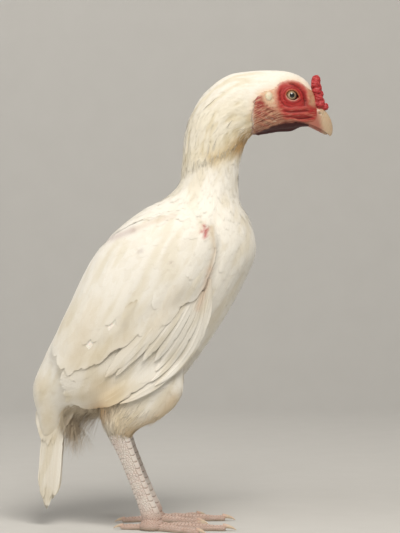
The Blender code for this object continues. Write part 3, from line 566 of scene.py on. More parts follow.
def skinFinish():
    # bare skin: painted markings, fine pores, and painted shade in the depth of its folds
    made = Finish("bareSkin", {
        "Roughness": 0.5, "Specular IOR Level": 0.35, "Subsurface Weight": 0.12,
        "Subsurface Scale": 0.003, "Subsurface Radius": (1.0, 0.35, 0.2)})
    patchy, fine = made.noise(5.0, 3), made.noise(0.9, 3)
    tint = made.mix(made.band(patchy, 0.35, 0.75) * made.attribute("bare") * 0.35,
                    made.attribute("tint", 0), (0.75, 0.30, 0.25), "MULTIPLY")
    tint = made.wash(tint, 0.45, fine, 0.45, 0.75, (1.5, 1.42, 1.4), "MULTIPLY")
    lines = made.node("ShaderNodeCombineXYZ", None, {
        0: made.attribute("run") * 0.13, 1: made.attribute("off")})
    streaks = made.node("ShaderNodeTexNoise", None, {
        "Vector": lines, "Scale": 0.80, "Detail": 3.0, "Roughness": 0.55})
    amount = made.attribute("streaks")
    tint = made.mix(made.band(streaks, 0.50, 0.64) * amount * 0.75, tint,
                    skinLooks["darkStreak"])
    tint = made.mix((1 - made.band(streaks, 0.34, 0.48)) * amount * 0.8, tint,
                    skinLooks["lightStreak"])
    # painted shade: darker where the skin lies in a hollow or a fold
    tint = made.wash(tint, 0.6, made.attribute("hollow"), 0.02, 0.17, (0.42, 0.12, 0.10),
                     "MULTIPLY")
    grain = made.bump(made.cells(0.75) * 0.5 + fine * 0.5 - streaks * amount * 2.0, 0.12)
    return made.plug(colour=tint, normal=grain, roughness=0.42 + fine * 0.25)


def featherFinish(name, barb, shaft, streak, depth):
    # a feather's web: barbs that run out from the shaft, with painted shade towards its covered
    # root, and its markings
    made = Finish(name, {"Roughness": 0.65, "Sheen Weight": 0.25, "Sheen Roughness": 0.4})
    place = made.node("ShaderNodeUVMap", {"uv_map": "Vane"})
    across, along = (made.node("ShaderNodeSeparateXYZ", None, {0: place}, k) for k in (0, 1))
    aside = (across - 0.5).maths("ABSOLUTE") * 100
    run = along * 100 - aside * 0.85
    ripple = (run * (2 * math.pi / barb)).maths("SINE")
    loose = made.noise(2.2, 3)
    tone = made.attribute("tone")
    clump = made.lineNoise(run * 0.9 + tone * 37, 2.0)
    # painted shade: warmer and darker towards the root, where the feathers above cover it
    tint = made.mix(made.band(made.attribute("share"), 0.0, 0.35), (0.76, 0.70, 0.60),
                    (0.83, 0.80, 0.73))
    tint = made.wash(tint, streak, clump, 0.42, 0.70, (0.73, 0.68, 0.58))
    tint = made.wash(tint, 0.45, tone, 0.40, 1.0, (0.76, 0.71, 0.61))
    tint = made.mix(1.0, tint, made.attribute("tint", 0), "MULTIPLY")
    rib = 1 - made.band(aside, 0.0, shaft)
    tint = made.mix(rib * 0.25, tint, (0.76, 0.70, 0.59))
    height = ripple * 0.10 + clump * 0.45 + loose * 0.20 + rib * 0.4
    return made.plug(colour=tint, normal=made.bump(height, depth), roughness=0.58 + loose * 0.2)


def hornFinish(name, pale, deep, blush, size):
    # bill and claws: layered horn, darker along its growth lines, pinker near its root, with
    # painted shade in the nostril's slit
    made = Finish(name, {"Roughness": 0.34, "Subsurface Weight": 0.1, "Subsurface Scale": 0.002,
                         "Coat Roughness": 0.25, "Coat Weight": 0.15})
    layers = made.lineNoise(made.attribute("along") * size, 3.0)
    patchy, fine = made.noise(3.0, 3), made.noise(0.5, 2)
    tint = made.mix(made.band(layers, 0.35, 0.75) * 0.35, pale, deep)
    tint = made.wash(tint, 0.35, patchy, 0.45, 0.75, deep)
    tint = made.mix(made.attribute("root") * 0.85, tint, blush)
    # painted shade inside the nostril's slit
    tint = made.mix(made.attribute("nostrilShade") * 0.85, tint, (0.12, 0.04, 0.03))
    height = layers * 0.35 + fine * 0.3
    return made.plug(colour=tint, normal=made.bump(height, 0.12), roughness=0.30 + patchy * 0.2)


def combFinish():
    # pink warty skin, with a painted highlight on its warts and painted shade in its creases
    made = Finish("combSkin", {"Roughness": 0.42, "Subsurface Weight": 0.15,
                               "Subsurface Scale": 0.003, "Subsurface Radius": (1.0, 0.25, 0.2)})
    grains, patchy = made.cells(1.5), made.noise(3.5, 3)
    tint = made.mix(made.band(patchy, 0.35, 0.7), (0.37, 0.016, 0.020), (0.48, 0.050, 0.052))
    # painted highlight: paler pink on the tops of the warts
    tint = made.mix((1 - made.band(grains, 0.05, 0.45)) * 0.22, tint, (0.64, 0.18, 0.16))
    # painted shade: darker in the comb's creases and hollows
    tint = made.wash(tint, 0.85, made.attribute("hollow"), 0.02, 0.16, (0.42, 0.14, 0.16),
                     "MULTIPLY")
    return made.plug(colour=tint, normal=made.bump(1 - grains, 0.10),
                     roughness=0.36 + patchy * 0.2)


def lobeFinish():
    # pale skin with a pinker rim
    made = Finish("lobeSkin", {"Roughness": 0.5, "Subsurface Weight": 0.15,
                               "Subsurface Scale": 0.002})
    patchy, fine = made.noise(2.5, 3), made.noise(0.5, 2)
    tint = made.mix(made.band(patchy, 0.4, 0.7), (0.70, 0.64, 0.49), (0.64, 0.56, 0.40))
    tint = made.mix(made.attribute("rim"), tint, (0.60, 0.43, 0.29))
    return made.plug(colour=tint, normal=made.bump(fine + patchy, 0.12),
                     roughness=0.42 + fine * 0.2)


def eyeFinish():
    # pearl iris with fine rays, shaded under the brow, black pupil, dark ring, wet all over
    made = Finish("hensEye", {"Roughness": 0.10, "Coat Weight": 0.6, "Coat Roughness": 0.02})
    radius = made.attribute("radial")
    rays, cloud = made.noise(0.5, 3), made.noise(1.6, 2)
    tint = made.mix(made.band(radius + rays * 1.2, *eye["iris"]), (0.40, 0.31, 0.18),
                    (0.22, 0.13, 0.06))
    tint = made.wash(tint, 0.5, rays, 0.45, 0.75, (0.38, 0.32, 0.22))
    tint = made.wash(tint, 0.3, cloud, 0.5, 0.8, (0.33, 0.25, 0.17))
    tint = made.wash(tint, 0.75, made.attribute("shade"), 0.5, 4.5, (0.16, 0.09, 0.05))
    tint = made.mix(made.band(radius, *eye["ring"]), tint, (0.035, 0.018, 0.012))
    tint = made.mix(1 - made.band(radius, *eye["pupil"]), tint, (0.003, 0.003, 0.004))
    return made.plug(colour=tint)


def legFinish():
    # scaly leg: pale plates, rosy brown toes, darker in the furrows
    made = Finish("legScales", {"Roughness": 0.5, "Subsurface Weight": 0.08,
                                "Subsurface Scale": 0.002, "Subsurface Radius": (1.0, 0.5, 0.35)})
    patchy, fine = made.noise(9.0, 3), made.noise(0.8, 3)
    tint = made.mix(made.band(made.attribute("toe"), 0.0, 1.0), (0.66, 0.60, 0.55),
                    (0.50, 0.36, 0.30))
    tint = made.wash(tint, 0.45, patchy, 0.40, 0.75, (0.58, 0.46, 0.42))
    tint = made.wash(tint, 0.25, fine, 0.45, 0.8, (0.74, 0.70, 0.64))
    tint = made.mix(made.attribute("sole") * 0.7, tint, (0.46, 0.37, 0.28))
    tint = made.wash(tint, 0.65, made.attribute("hollow"), 0.0, 0.08, (0.48, 0.38, 0.32),
                     "MULTIPLY")
    return made.plug(colour=tint, normal=made.bump(fine, 0.10), roughness=0.42 + fine * 0.2)


finishes = {
    "skin": skinFinish(),
    "coat": featherFinish("smallFeathers", 0.55, 0.30, 0.20, 0.09),
    "flight": featherFinish("flightFeathers", 0.65, 0.70, 0.34, 0.16),
    "bill": hornFinish("billHorn", (0.50, 0.375, 0.25), (0.39, 0.26, 0.155),
                       (0.34, 0.085, 0.06), 0.7),
    "claw": hornFinish("clawHorn", (0.62, 0.50, 0.37), (0.42, 0.30, 0.20),
                       (0.56, 0.38, 0.30), 1.6),
    "comb": combFinish(),
    "lobe": lobeFinish(),
    "eye": eyeFinish(),
    "leg": legFinish(),
}
print("finishes made")


def skinColours(places):
    # the head's markings, painted by their outlines on both sides, with painted shade on the
    # throat and in the groove before the eye
    flat = places[:, [0, 2]]
    colour = np.tile(np.array(skinLooks["under"]), (len(places), 1))
    edge = inside(flat + 0.9 * np.stack([noiseAt(places, 3, 23), noiseAt(places, 3, 24)], 1),
                  face["bare"], 7.0)
    colour += (np.array(skinLooks["bare"]) - colour) * edge[:, None]
    wavy = flat + 1.1 * np.stack([noiseAt(places, 4, 21), noiseAt(places, 4, 22)], 1)
    for name, edge in (("pale", 6.0), ("streaky", 5.0), ("redStreak", 6.0), ("red", 7.0),
                       ("tan", 4.0), ("front", 6.0), ("throat", 2.6)):
        share = inside(wavy, face[name], edge)[:, None]
        if name == "throat":
            colour = streaked(flat, places, colour)
        elif name == "red":
            share = share * smooth((471 - flat[:, 1:]) / 9)
        colour += (np.array(skinLooks[name]) - colour) * share
    return colour


def cheekLines(places):
    # places along and across the cheek's creases, which run down and back
    x, z = places[:, 0], places[:, 2]
    return x + 0.35 * z, z - 0.30 * x + 0.22 * (12 * np.log(np.cosh((104 - x) / 14)))


def cheekGrain(places):
    # noise drawn out along the cheek's creases
    run, off = cheekLines(places)
    lines = np.stack([run / 7, off, places[:, 1] * 0.4], 1)
    return noiseAt(lines, 2.0, 31) + 0.5 * noiseAt(lines, 1.0, 32)


def streakZone(flat, top):
    # 1 on the streaky skin behind the face, less under it
    return np.maximum(inside(flat, face["streaky"], 6.0),
                      0.45 * smooth((top - flat[:, 1]) / 8) * (flat[:, 0] > 95))


def streaked(flat, places, colour):
    # fine streaks down and back over the cheek, painted shade in the furrows of the folds and
    # painted highlight on their crests
    grain = cheekGrain(places)
    light, dark = np.array(skinLooks["lightStreak"]), np.array(skinLooks["darkStreak"])
    amount = streakZone(flat, 443)[:, None]
    colour = colour + (light - colour) * smooth((grain - 0.02) * 2.4)[:, None] * amount * 0.5
    colour = colour + (dark - colour) * smooth((-grain - 0.08) * 2.4)[:, None] * amount * 0.4
    for line, width, height in faceFolds:
        near = foldNear(flat, line, width * 0.9)[:, None]
        # furrows get painted shade, crests a painted highlight
        goal = np.array(skinLooks["furrowShade" if height < 0 else "crestHighlight"])
        strength = (0.5 * min(1.6, abs(height))) if height < 0 else 0.28
        colour = colour + (goal - colour) * near * strength * bareness(places)[:, None]
    return colour


def sculptHead(places, facing):
    # folds, pebbles and the dewlap of the bare skin; the hollow that holds the eye
    flat = places[:, [0, 2]]
    bare = bareness(places)
    lift = np.zeros(len(places))
    for line, width, height in faceFolds:
        lift += height * foldNear(flat, line, width)
    head = np.nonzero(places[:, 0] > 60)[0]
    rough = np.zeros(len(places))
    cheek = smooth((104 - places[head, 0]) / 14) * smooth((450 - places[head, 2]) / 10)
    rough[head] = (0.20 * noiseAt(places[head], 4.6, 1, (1, 1, 1.7))
                   + 0.10 * noiseAt(places[head], 1.7, 2, (0.8, 1, 1.6))
                   + (0.10 + 0.20 * cheek) * cheekGrain(places[head]))
    sideOn = smooth((np.abs(places[:, 1]) - 3) / 4)
    out = places + facing * ((lift * sideOn + rough) * bare)[:, None]
    # the dewlap, a low fold along the middle of the throat
    under = smooth((places[:, 0] - 74) / 8) * smooth((126 - places[:, 0]) / 12)
    under *= np.exp(-(places[:, 1] / 2.6) ** 2) * (facing[:, 2] < -0.3)
    out[:, 2] -= 2.6 * under
    far = np.hypot(flat[:, 0] - eye["at"][0], flat[:, 1] - eye["at"][1])
    size, edge, depth = eye["socket"]
    out -= facing * (depth * (smooth((size - far) / edge) * sideOn))[:, None]
    return out


def makeSkin():
    # the body and both thighs, joined in one closed skin
    places, sides = ringPlaces(), henShape["ringSides"]
    t, k = np.meshgrid(places, np.arange(sides), indexing="ij")
    grid = bodySurface(t.ravel(), 2 * math.pi * k.ravel() / sides)
    body = makePiece("skin", grid, tubeFaces(len(places), sides))
    rows, sides = henShape["thighGrid"]
    t, k = np.meshgrid(np.linspace(0, len(henShape["thigh"]) - 1, rows), np.arange(sides),
                       indexing="ij")
    leg = thighPoints(t.ravel(), -2 * math.pi * k.ravel() / sides)
    for side in (1, -1):
        faces = [corners[::side] for corners in tubeFaces(rows, sides)]
        thigh = makePiece("thighSkin", leg * (1, side, 1), faces)
        applyStep(body, "BOOLEAN", object=thigh, operation="UNION", solver="MANIFOLD")
        bpy.data.objects.remove(thigh)
    return body


def bedUnder(piece):
    # a tree to lay feathers on, from the piece's own faces
    mesh = piece.data
    return BVHTree.FromPolygons([v.co / mm for v in mesh.vertices],
                                [p.vertices[:] for p in mesh.polygons])


skin = makeSkin()
bed = bedUnder(skin)
print("skin formed", len(skin.data.polygons))


def finishSkin():
    # the feathered skin sinks under its feathers, and the bare skin gets its folds and markings
    places, facing = pointsOf(skin)
    depth = (0.7 - 0.5 * smooth((places[:, 0] - 35) / 25)) * (1 - bareness(places))
    places = sculptHead(places - facing * depth[:, None], facing)
    movePoints(skin, places)
    places, _ = pointsOf(skin)
    flat, bare = places[:, [0, 2]], bareness(places)
    run, off = cheekLines(places)
    streaks = np.maximum(streakZone(flat, 444), 0.16 * inside(flat, face["red"], 5.0))
    streaks *= bare * (1 - inside(flat, face["throat"], 3.0))
    setAttributes(skin, {"hollow": hollowness(skin), "run": run, "off": off,
                         "streaks": streaks, "bare": bare}, {"tint": skinColours(places)})
    dress(skin, finishes["skin"], "face_skin", "torso", "neck", "head", "thigh_left",
          "thigh_right")


finishSkin()
print("skin finished")


# where the long feathers lie: how far the body stands out at each place of the side view
reach = {"x": (-200, 90), "z": (70, 330), "step": 2.5, "bridge": (0, 8, 16, 24, 32),
         "droop": 0.42, "gap": 0.5}


def reachGrid():
    # the places of the side view at which the reach is measured
    return np.meshgrid(*(np.arange(*reach[key], reach["step"]) for key in ("x", "z")),
                       indexing="ij")


def reachMap(tree):
    # how far a body stands out to its left at the places of the side view
    x, z = reachGrid()
    found = np.zeros(x.shape)
    for place in np.ndindex(x.shape):
        hit = tree.ray_cast(Vector((x[place], 200, z[place])), Vector((0, -1, 0)))[0]
        if hit:
            found[place] = max(hit.y, 0)
    return found


def readMap(found, x, z):
    # the map's value between its places
    fx = np.clip((x - reach["x"][0]) / reach["step"], 0, found.shape[0] - 1.001)
    fz = np.clip((z - reach["z"][0]) / reach["step"], 0, found.shape[1] - 1.001)
    i, j = np.floor(fx).astype(int), np.floor(fz).astype(int)
    u, v = fx - i, fz - j
    return ((found[i, j] * (1 - u) + found[i + 1, j] * u) * (1 - v)
            + (found[i, j + 1] * (1 - u) + found[i + 1, j + 1] * u) * v)


def softened(found, passes):
    # a map with its values eased towards those beside them
    for _ in range(passes):
        wide = np.pad(found, 1, mode="edge")
        found = (wide[1:-1, 1:-1] * 4 + wide[:-2, 1:-1] + wide[2:, 1:-1] + wide[1:-1, :-2]
                 + wide[1:-1, 2:]) / 8
    return found


def makeCharts():
    # the body without the wing's arm, bridged towards its lower front, and the body with it
    solids = []
    rows, sides = 120, 72
    for stations, middle in ((henShape["stations"], 0),
                             (henShape["thigh"], henShape["thighMiddle"])):
        t, k = np.meshgrid(np.linspace(0, len(stations) - 1, rows), np.arange(sides),
                           indexing="ij")
        points = loftPoints(stations, t.ravel(), 2 * math.pi * k.ravel() / sides, 0.0, middle)
        solids.append(BVHTree.FromPolygons([Vector(p) for p in points],
                                           gridFaces(rows, sides).tolist()))
    plain = np.maximum(reachMap(solids[0]), reachMap(solids[1]))
    x, z = reachGrid()
    bridged = np.zeros_like(plain)
    for way in reach["bridge"]:
        moved = readMap(plain, x - way * math.sqrt(0.5), z + way * math.sqrt(0.5))
        bridged = np.maximum(bridged, moved - reach["droop"] * way)
    return softened(bridged, 6) + reach["gap"], softened(reachMap(bed), 2)


bridgedReach, armReach = makeCharts()
# how far the shield stands over the long feathers, less towards the front
shieldOver = 5.8 - 3.8 * smooth((reachGrid()[0] + 14) / 30)
shieldReach = softened(np.maximum(armReach, bridgedReach + shieldOver), 4)


def wingChart(x, z):
    # the surface that the wing's long feathers lie on
    return readMap(bridgedReach, x, z)


def wingShell(side):
    # the shield's surface on one side: the arm, carried on over the long feathers
    x, z = reachGrid()
    points = np.stack([x, shieldReach, z], 2).reshape(-1, 3)
    points[:, 1] += coatRidge["body"][0] * coatGrain(points)[1]
    faces = gridFaces(*x.shape, False)[:, ::-side]
    return BVHTree.FromPolygons([Vector(p) for p in points * (1, side, 1)], faces.tolist())


featherForms = {
    # share of the length, width there; columns across; how the rows bow, cup and fray
    "body": {"outline": [(0, 0.30), (0.2, 0.75), (0.42, 0.98), (0.64, 1.0), (0.82, 0.80),
                         (0.93, 0.52), (1.0, 0.20)], "columns": 5, "bow": 0.35, "cup": 0.24,
             "fray": 0.02, "ease": 0.80},
    "hackle": {"outline": [(0, 0.35), (0.2, 0.8), (0.45, 1.0), (0.68, 0.80), (0.88, 0.42),
                           (1.0, 0.10)], "columns": 5, "bow": 0.35, "cup": 0.18,
               "fray": 0.03, "ease": 0.68},
    "covert": {"outline": [(0, 0.5), (0.22, 0.85), (0.45, 1.0), (0.68, 1.0), (0.84, 0.84),
                           (0.94, 0.58), (1.0, 0.22)], "columns": 7, "bow": 0.30, "cup": 0.22,
               "fray": 0.01, "ease": 0.76},
    "small": {"outline": [(0, 0.40), (0.3, 0.9), (0.6, 1.0), (0.85, 0.55), (1.0, 0.12)],
              "columns": 3, "bow": 0.35, "cup": 0.04, "fray": 0.0, "ease": 0.9},
}
# along the stations: step along, step across, length, width, height of the tips
bodyFeathers = np.array([
    (0.3, 6.5, 6.0, 32, 11, 0.55), (3, 7.0, 6.8, 31, 12.5, 0.42), (7, 6.6, 6.6, 30, 11.5, 0.40),
    (9.4, 5.6, 5.6, 27, 9.4, 0.38), (10.6, 4.8, 4.7, 27, 7.4, 0.42), (13, 4.3, 4.3, 25, 6.2, 0.4),
    (15, 3.6, 3.4, 18, 5.4, 0.30), (16.5, 2.4, 2.3, 12, 4.0, 0.18),
    (18, 1.55, 1.55, 8.0, 3.0, 0.11), (22, 1.3, 1.3, 5.5, 2.4, 0.09)], float)
shieldShape = {
    # the shield's lower edge; the way its feathers lie along it
    "line": [(-137, 190), (-130, 170), (-122, 163.5), (-108, 168), (-94.5, 173.5),
             (-80.9, 183), (-65.1, 192), (-55.7, 199.5), (-42, 204.5), (-31.5, 207),
             (-23.1, 213), (-8.4, 228.5), (4, 236), (14, 239)],
    "ways": [(-131, (-0.42, -0.90)), (-60, (-0.50, -0.86)), (-20, (-0.48, -0.88)),
             (14, (-0.34, -0.94))],
    # up from the edge, count, width, length, height of the tips
    "rows": [(0, 29, 14.5, 38, 0.5), (6.5, 27, 13.5, 36, 0.4), (13, 26, 13, 36, 0.35),
             (19.5, 26, 13, 36, 0.35), (26, 25, 13, 36, 0.35)],
}
coatMarksAndShade = [
    # line in the side view, half width, colour that the coat is multiplied by, on both sides;
    # stains, smudges and painted shade
    ([(60, 397), (66, 404), (74, 412)], 8, (0.70, 0.50, 0.27), True),
    ([(34, 386), (52, 395), (66, 408)], 8, (0.88, 0.77, 0.58), True),
    ([(0, 384), (26, 394), (50, 405), (68, 420)], 15, (0.89, 0.85, 0.74), True),
    ([(10, 420), (34, 432), (60, 440)], 16, (0.91, 0.88, 0.80), True),
    # painted shade, darker towards the shield's rear
    ([(-118, 212), (-98, 192), (-62, 214)], 22, (0.94, 0.92, 0.88), True),
    # the thigh's dirty cream, partly painted shade under the wing
    ([(-80, 146), (-68, 124), (-58, 106)], 20, (0.87, 0.78, 0.64), True),
    # painted shade on the tail
    ([(-143, 96), (-141, 60), (-139, 28)], 14, (0.88, 0.86, 0.82), True),
    ([(23, 317), (25, 311), (24, 306)], 1.9, (0.66, 0.20, 0.22), False),
    ([(20, 312), (24, 311), (28, 315)], 1.2, (0.72, 0.34, 0.34), False),
    ([(-44, 291), (-41, 292)], 2.2, (0.78, 0.75, 0.76), False),
    ([(-10.5, 280), (-8, 278)], 2.0, (0.76, 0.72, 0.73), False),
    ([(-59, 219), (-57, 217)], 2.0, (0.78, 0.76, 0.77), False),
    # painted shadow along the wing's upper edge against the back
    ([(-76, 303), (-60, 309), (-50, 313)], 3.4, (0.76, 0.70, 0.72), False),
    # painted shadow along the furrow between the wing and the back
    ([(-50, 313), (-30.5, 321), (-8, 328)], 3.0, (0.88, 0.83, 0.80), True),
    ([(17, 232), (23, 250), (29, 272)], 3.2, (0.90, 0.79, 0.72), True),
    ([(29, 272), (34, 292), (31, 316)], 2.2, (0.93, 0.85, 0.77), True),
    # painted shade along the shield's lower edge
    ([(-116, 172), (-84, 186), (-56, 203)], 11, (0.91, 0.88, 0.82), True),
    # this and the next: soft streaks of painted shade across the shield
    ([(-110, 182), (-100, 210), (-90, 236)], 9, (0.94, 0.91, 0.86), True),
    ([(-30, 212), (-16, 232), (-4, 250)], 8, (0.93, 0.90, 0.85), True),
    ([(-118, 140), (-90, 136), (-50, 150)], 8, (0.94, 0.91, 0.85), True),
    ([(-148, 150), (-140, 120), (-136, 96)], 9, (0.94, 0.90, 0.82), True),
    # the vent, partly its own tan and partly painted shade
    ([(-113, 108), (-98, 116), (-84, 124)], 9, (0.66, 0.47, 0.27), True),
    ([(-60, 96), (-40, 104), (-22, 118), (-8, 136)], 9, (0.84, 0.72, 0.56), True),
]


def coatTints(places):
    # the coat's markings and painted shade at places on it, with painted shade in the troughs of
    # its ridges
    flat = places[:, [0, 2]]
    tint = np.ones((len(places), 3))
    for line, width, colour, both in coatMarksAndShade:
        share = np.exp(-(lineDistance(flat, line) / width) ** 2)
        if not both:
            share = share * (places[:, 1] < 0)
        tint *= 1 - share[:, None] * (1 - np.array(colour))
    neck, body, upper = coatGrain(places)
    shade = 0.95 * smooth((-neck + 0.02) * 2.2) * upper * smooth((105 - flat[:, 0]) / 40)
    shade += 0.60 * smooth((-body + 0.02) * 2.2) * (1 - upper)
    tint *= 1 - shade[:, None] * (1 - np.array((0.87, 0.83, 0.73)))
    near = np.clip(1 - lineDistance(flat, face["bare"], True) / 10, 0, 1)[:, None] ** 2
    near = near * (flat[:, 1:] > 425)
    return tint * (1 - near * (1 - np.array((0.95, 0.76, 0.64))))


def unwrapPlace(t, angle):
    # the skin's own unwrap: round the body, and from the tail to the bill
    return np.stack([0.01 + 0.78 * angle / (2 * math.pi), 0.02 + 0.95 * t / 22], 1)


def bakePlaces(roots):
    # the places on the skin's unwrap of points near it
    t, angle = np.meshgrid(np.linspace(0, 14, 99), np.linspace(0, 2 * math.pi, 121),
                           indexing="ij")
    t, angle = t.ravel(), angle.ravel()
    spots = bodySurface(t, angle)
    nearest = [int(((spots - root) ** 2).sum(1).argmin()) for root in roots]
    return unwrapPlace(t[nearest], angle[nearest])


def scatter():
    # roots of the small feathers, in staggered rings from the tail to the bill
    roots = {key: [] for key in ("t", "angle", "length", "width", "lift")}
    t, row = 0.3, 0
    fine = np.linspace(0, 2 * math.pi, 361)
    while t < 21.8:
        along, across, length, width, lift = (
            np.interp(t, bodyFeathers[:, 0], bodyFeathers[:, k]) for k in range(1, 6))
        ring = bodySurface(np.full(361, t), fine)
        run = np.concatenate([[0], np.cumsum(np.linalg.norm(np.diff(ring, axis=0), axis=1))])
        count = max(8, round(run[-1] / across))
        spots = (np.arange(count) + 0.5 * (row % 2) + rng.uniform(-0.22, 0.22, count)) / count
        roots["angle"].append(np.interp((spots % 1) * run[-1], run, fine))
        step = along / speedAt(t)
        roots["t"].append(t + rng.uniform(-0.22, 0.22, count) * step)
        for key, value in (("length", length), ("width", width), ("lift", lift)):
            roots[key].append(value * rng.uniform(0.88, 1.12, count))
        t += step
        row += 1
    return {key: np.concatenate(value) for key, value in roots.items()}


def featherFaces(rows, columns):
    # faces of one closed feather, whose two sheets share their rim
    top = np.arange(rows * columns).reshape(rows, columns)
    low = top.copy()
    low[1:-1, 1:-1] = rows * columns + np.arange((rows - 2) * (columns - 2)).reshape(
        rows - 2, columns - 2)
    faces = []
    for i in range(rows - 1):
        for j in range(columns - 1):
            faces.append((top[i, j], top[i, j + 1], top[i + 1, j + 1], top[i + 1, j]))
            faces.append((low[i, j], low[i + 1, j], low[i + 1, j + 1], low[i, j + 1]))
    return np.array(faces)


def easeNormals(piece, lies, share):
    # shade each corner partly as the surface that the feathers lie on
    mesh = piece.data
    corners = np.empty(len(mesh.loops), np.int32)
    mesh.loops.foreach_get("vertex_index", corners)
    own = np.empty(len(corners) * 3, np.float32)
    mesh.corner_normals.foreach_get("vector", own)
    own = own.reshape(-1, 3)
    lie, share = unit(lies)[corners], np.broadcast_to(share, len(lies))[corners][:, None]
    lie = lie * np.where((own * lie).sum(1) < 0, -1, 1)[:, None]
    mesh.normals_split_custom_set((own * (1 - share) + lie * share).tolist())


# how deep a root is sunk for its length, how a feather rises and waves along its length, where
# its barbs begin to fray, its thickness at the shaft and at the rim, the scale of its unwrap
featherMake = {"sink": 0.018, "rise": 1.6, "wave": (0.12, 9), "frayFrom": 0.75,
               "thick": (0.2, 0.07), "patch": (0.0015, 0.003)}


def layFeathers(name, form, places, ways, sizes, bake, tree, twist, loose):
    # small feathers along the bed: each is marched over it, row by row
    spec = featherForms[form]
    shares, widths = np.array(spec["outline"]).T
    rows, columns = len(shares), spec["columns"]
    across = np.linspace(-1, 1, columns)
    template = featherFaces(rows, columns)
    count = len(places)
    perFeather = rows * columns + (rows - 2) * (columns - 2)
    points = np.empty((count, perFeather, 3))
    vane = np.empty((count, perFeather, 2))
    share = np.empty((count, perFeather))
    lies = np.empty((count, perFeather, 3))
    patch = np.empty((count, perFeather, 2))
    turns = rng.normal(0, twist, count)
    wild = rng.uniform(0, 1, (count, 4))
    wave, waves = featherMake["wave"]
    fray, frayFrom = spec["fray"], featherMake["frayFrom"]
    middle, rim = featherMake["thick"]
    patchX, patchY = featherMake["patch"]
    for n in range(count):
        length, width, lift = sizes[n]
        sink = featherMake["sink"] * length
        centre, normal, _, _ = tree.find_nearest(Vector(places[n]))
        way = Vector(ways[n])
        way = (way - normal * way.dot(normal)).normalized()
        way = (Matrix.Rotation(turns[n], 3, normal) @ way).normalized()
        last = 0.0
        curl = (wild[n, 0] - 0.35) * loose * min(1, length / 25)
        inner = 0
        for i, u in enumerate(shares):
            hit, facing, _, _ = tree.find_nearest(centre + way * (length * (u - last)))
            last = u
            way = (way - facing * way.dot(facing)).normalized()
            centre = hit
            aside = way.cross(facing)
            half = width / 2 * widths[i]
            rise = -sink + (lift + sink) * (1 - (1 - u) ** featherMake["rise"]) + curl * u * u
            for j, v in enumerate(across):
                out = half * v * (1 + wave * (wild[n, 2] - 0.5) * math.sin(waves * u + n))
                back = spec["bow"] * half * v * v * u
                if j % 2 and u > frayFrom:
                    back += fray * length * (u - frayFrom) * 4 * (0.6 + 0.8 * wild[n, j % 4])
                spot = hit + aside * out - way * back
                if v:
                    spot, outward, _, _ = tree.find_nearest(spot)
                else:
                    outward = facing
                top = spot + outward * (rise - spec["cup"] * v * v * (0.4 + 0.6 * u))
                k = i * columns + j
                points[n, k], lies[n, k] = top, outward
                vane[n, k] = (0.5 + out * 0.01, length * u * 0.01)
                share[n, k] = u
                patch[n, k] = (bake[n, 0] + v * patchX, bake[n, 1] + (u - 0.5) * patchY)
                if 0 < i < rows - 1 and 0 < j < columns - 1:
                    m = rows * columns + inner
                    inner += 1
                    deep = middle * (1 - abs(v)) + rim
                    points[n, m] = top - outward * deep * min(1, length / 20) * (1 - 0.6 * u)
                    vane[n, m], share[n, m], patch[n, m] = vane[n, k], u, patch[n, k]
                    lies[n, m] = outward
    faces = (template[None] + (np.arange(count) * perFeather)[:, None, None]).reshape(-1, 4)
    tone = np.repeat(rng.uniform(0, 1, count), perFeather)
    points = points.reshape(-1, 3)
    piece = makePiece(name, points, faces,
                      {"Vane": vane.reshape(-1, 2), "OFBake": patch.reshape(-1, 2)},
                      {"share": share.ravel(), "tone": tone}, {"tint": coatTints(points)})
    piece.data.set_sharp_from_angle(angle=math.radians(70))
    easeNormals(piece, lies.reshape(-1, 3), spec["ease"])
    print(name, count, "feathers", len(faces) * 2, "triangles")
    return piece


def coverShield(side):
    # rows of coverts over one another, down to the shield's edge over the long feathers
    random = np.random.default_rng(11 + side)
    line = splineAt(shieldShape["line"], np.linspace(0, len(shieldShape["line"]) - 1, 200))
    run = np.concatenate([[0], np.cumsum(np.linalg.norm(np.diff(line, axis=0), axis=1))])
    turns = np.array([(place, *way) for place, way in shieldShape["ways"]])
    roots, ways, sizes = [], [], []
    for up, count, width, length, lift in shieldShape["rows"]:
        spots = (np.arange(count) + random.uniform(0.3, 0.7, count)) * run[-1] / count
        for spot in spots:
            tip = np.array([np.interp(spot, run, line[:, 0]), np.interp(spot, run, line[:, 1])])
            way = np.array([np.interp(tip[0], turns[:, 0], turns[:, k]) for k in (1, 2)])
            way /= np.linalg.norm(way)
            long = length * random.uniform(0.94, 1.06)
            root = tip - way * (long + up + random.uniform(-0.8, 0.8))
            roots.append((root[0], side * readMap(shieldReach, *root), root[1]))
            ways.append((way[0], 0, way[1]))
            sizes.append((long, width * random.uniform(0.94, 1.06), lift))
    roots, ways, sizes = (np.array(values) for values in (roots, ways, sizes))
    piece = layFeathers(f"wingShield{sideName[side]}", "covert", roots, ways, sizes,
                        bakePlaces(roots), wingShell(side), 0.05, 0.04)
    dress(piece, finishes["coat"], "plumage")


def lieOf(t, angle, roots):
    # the ways that the body's feathers point
    return bodySurface(t - 0.12, angle) - roots


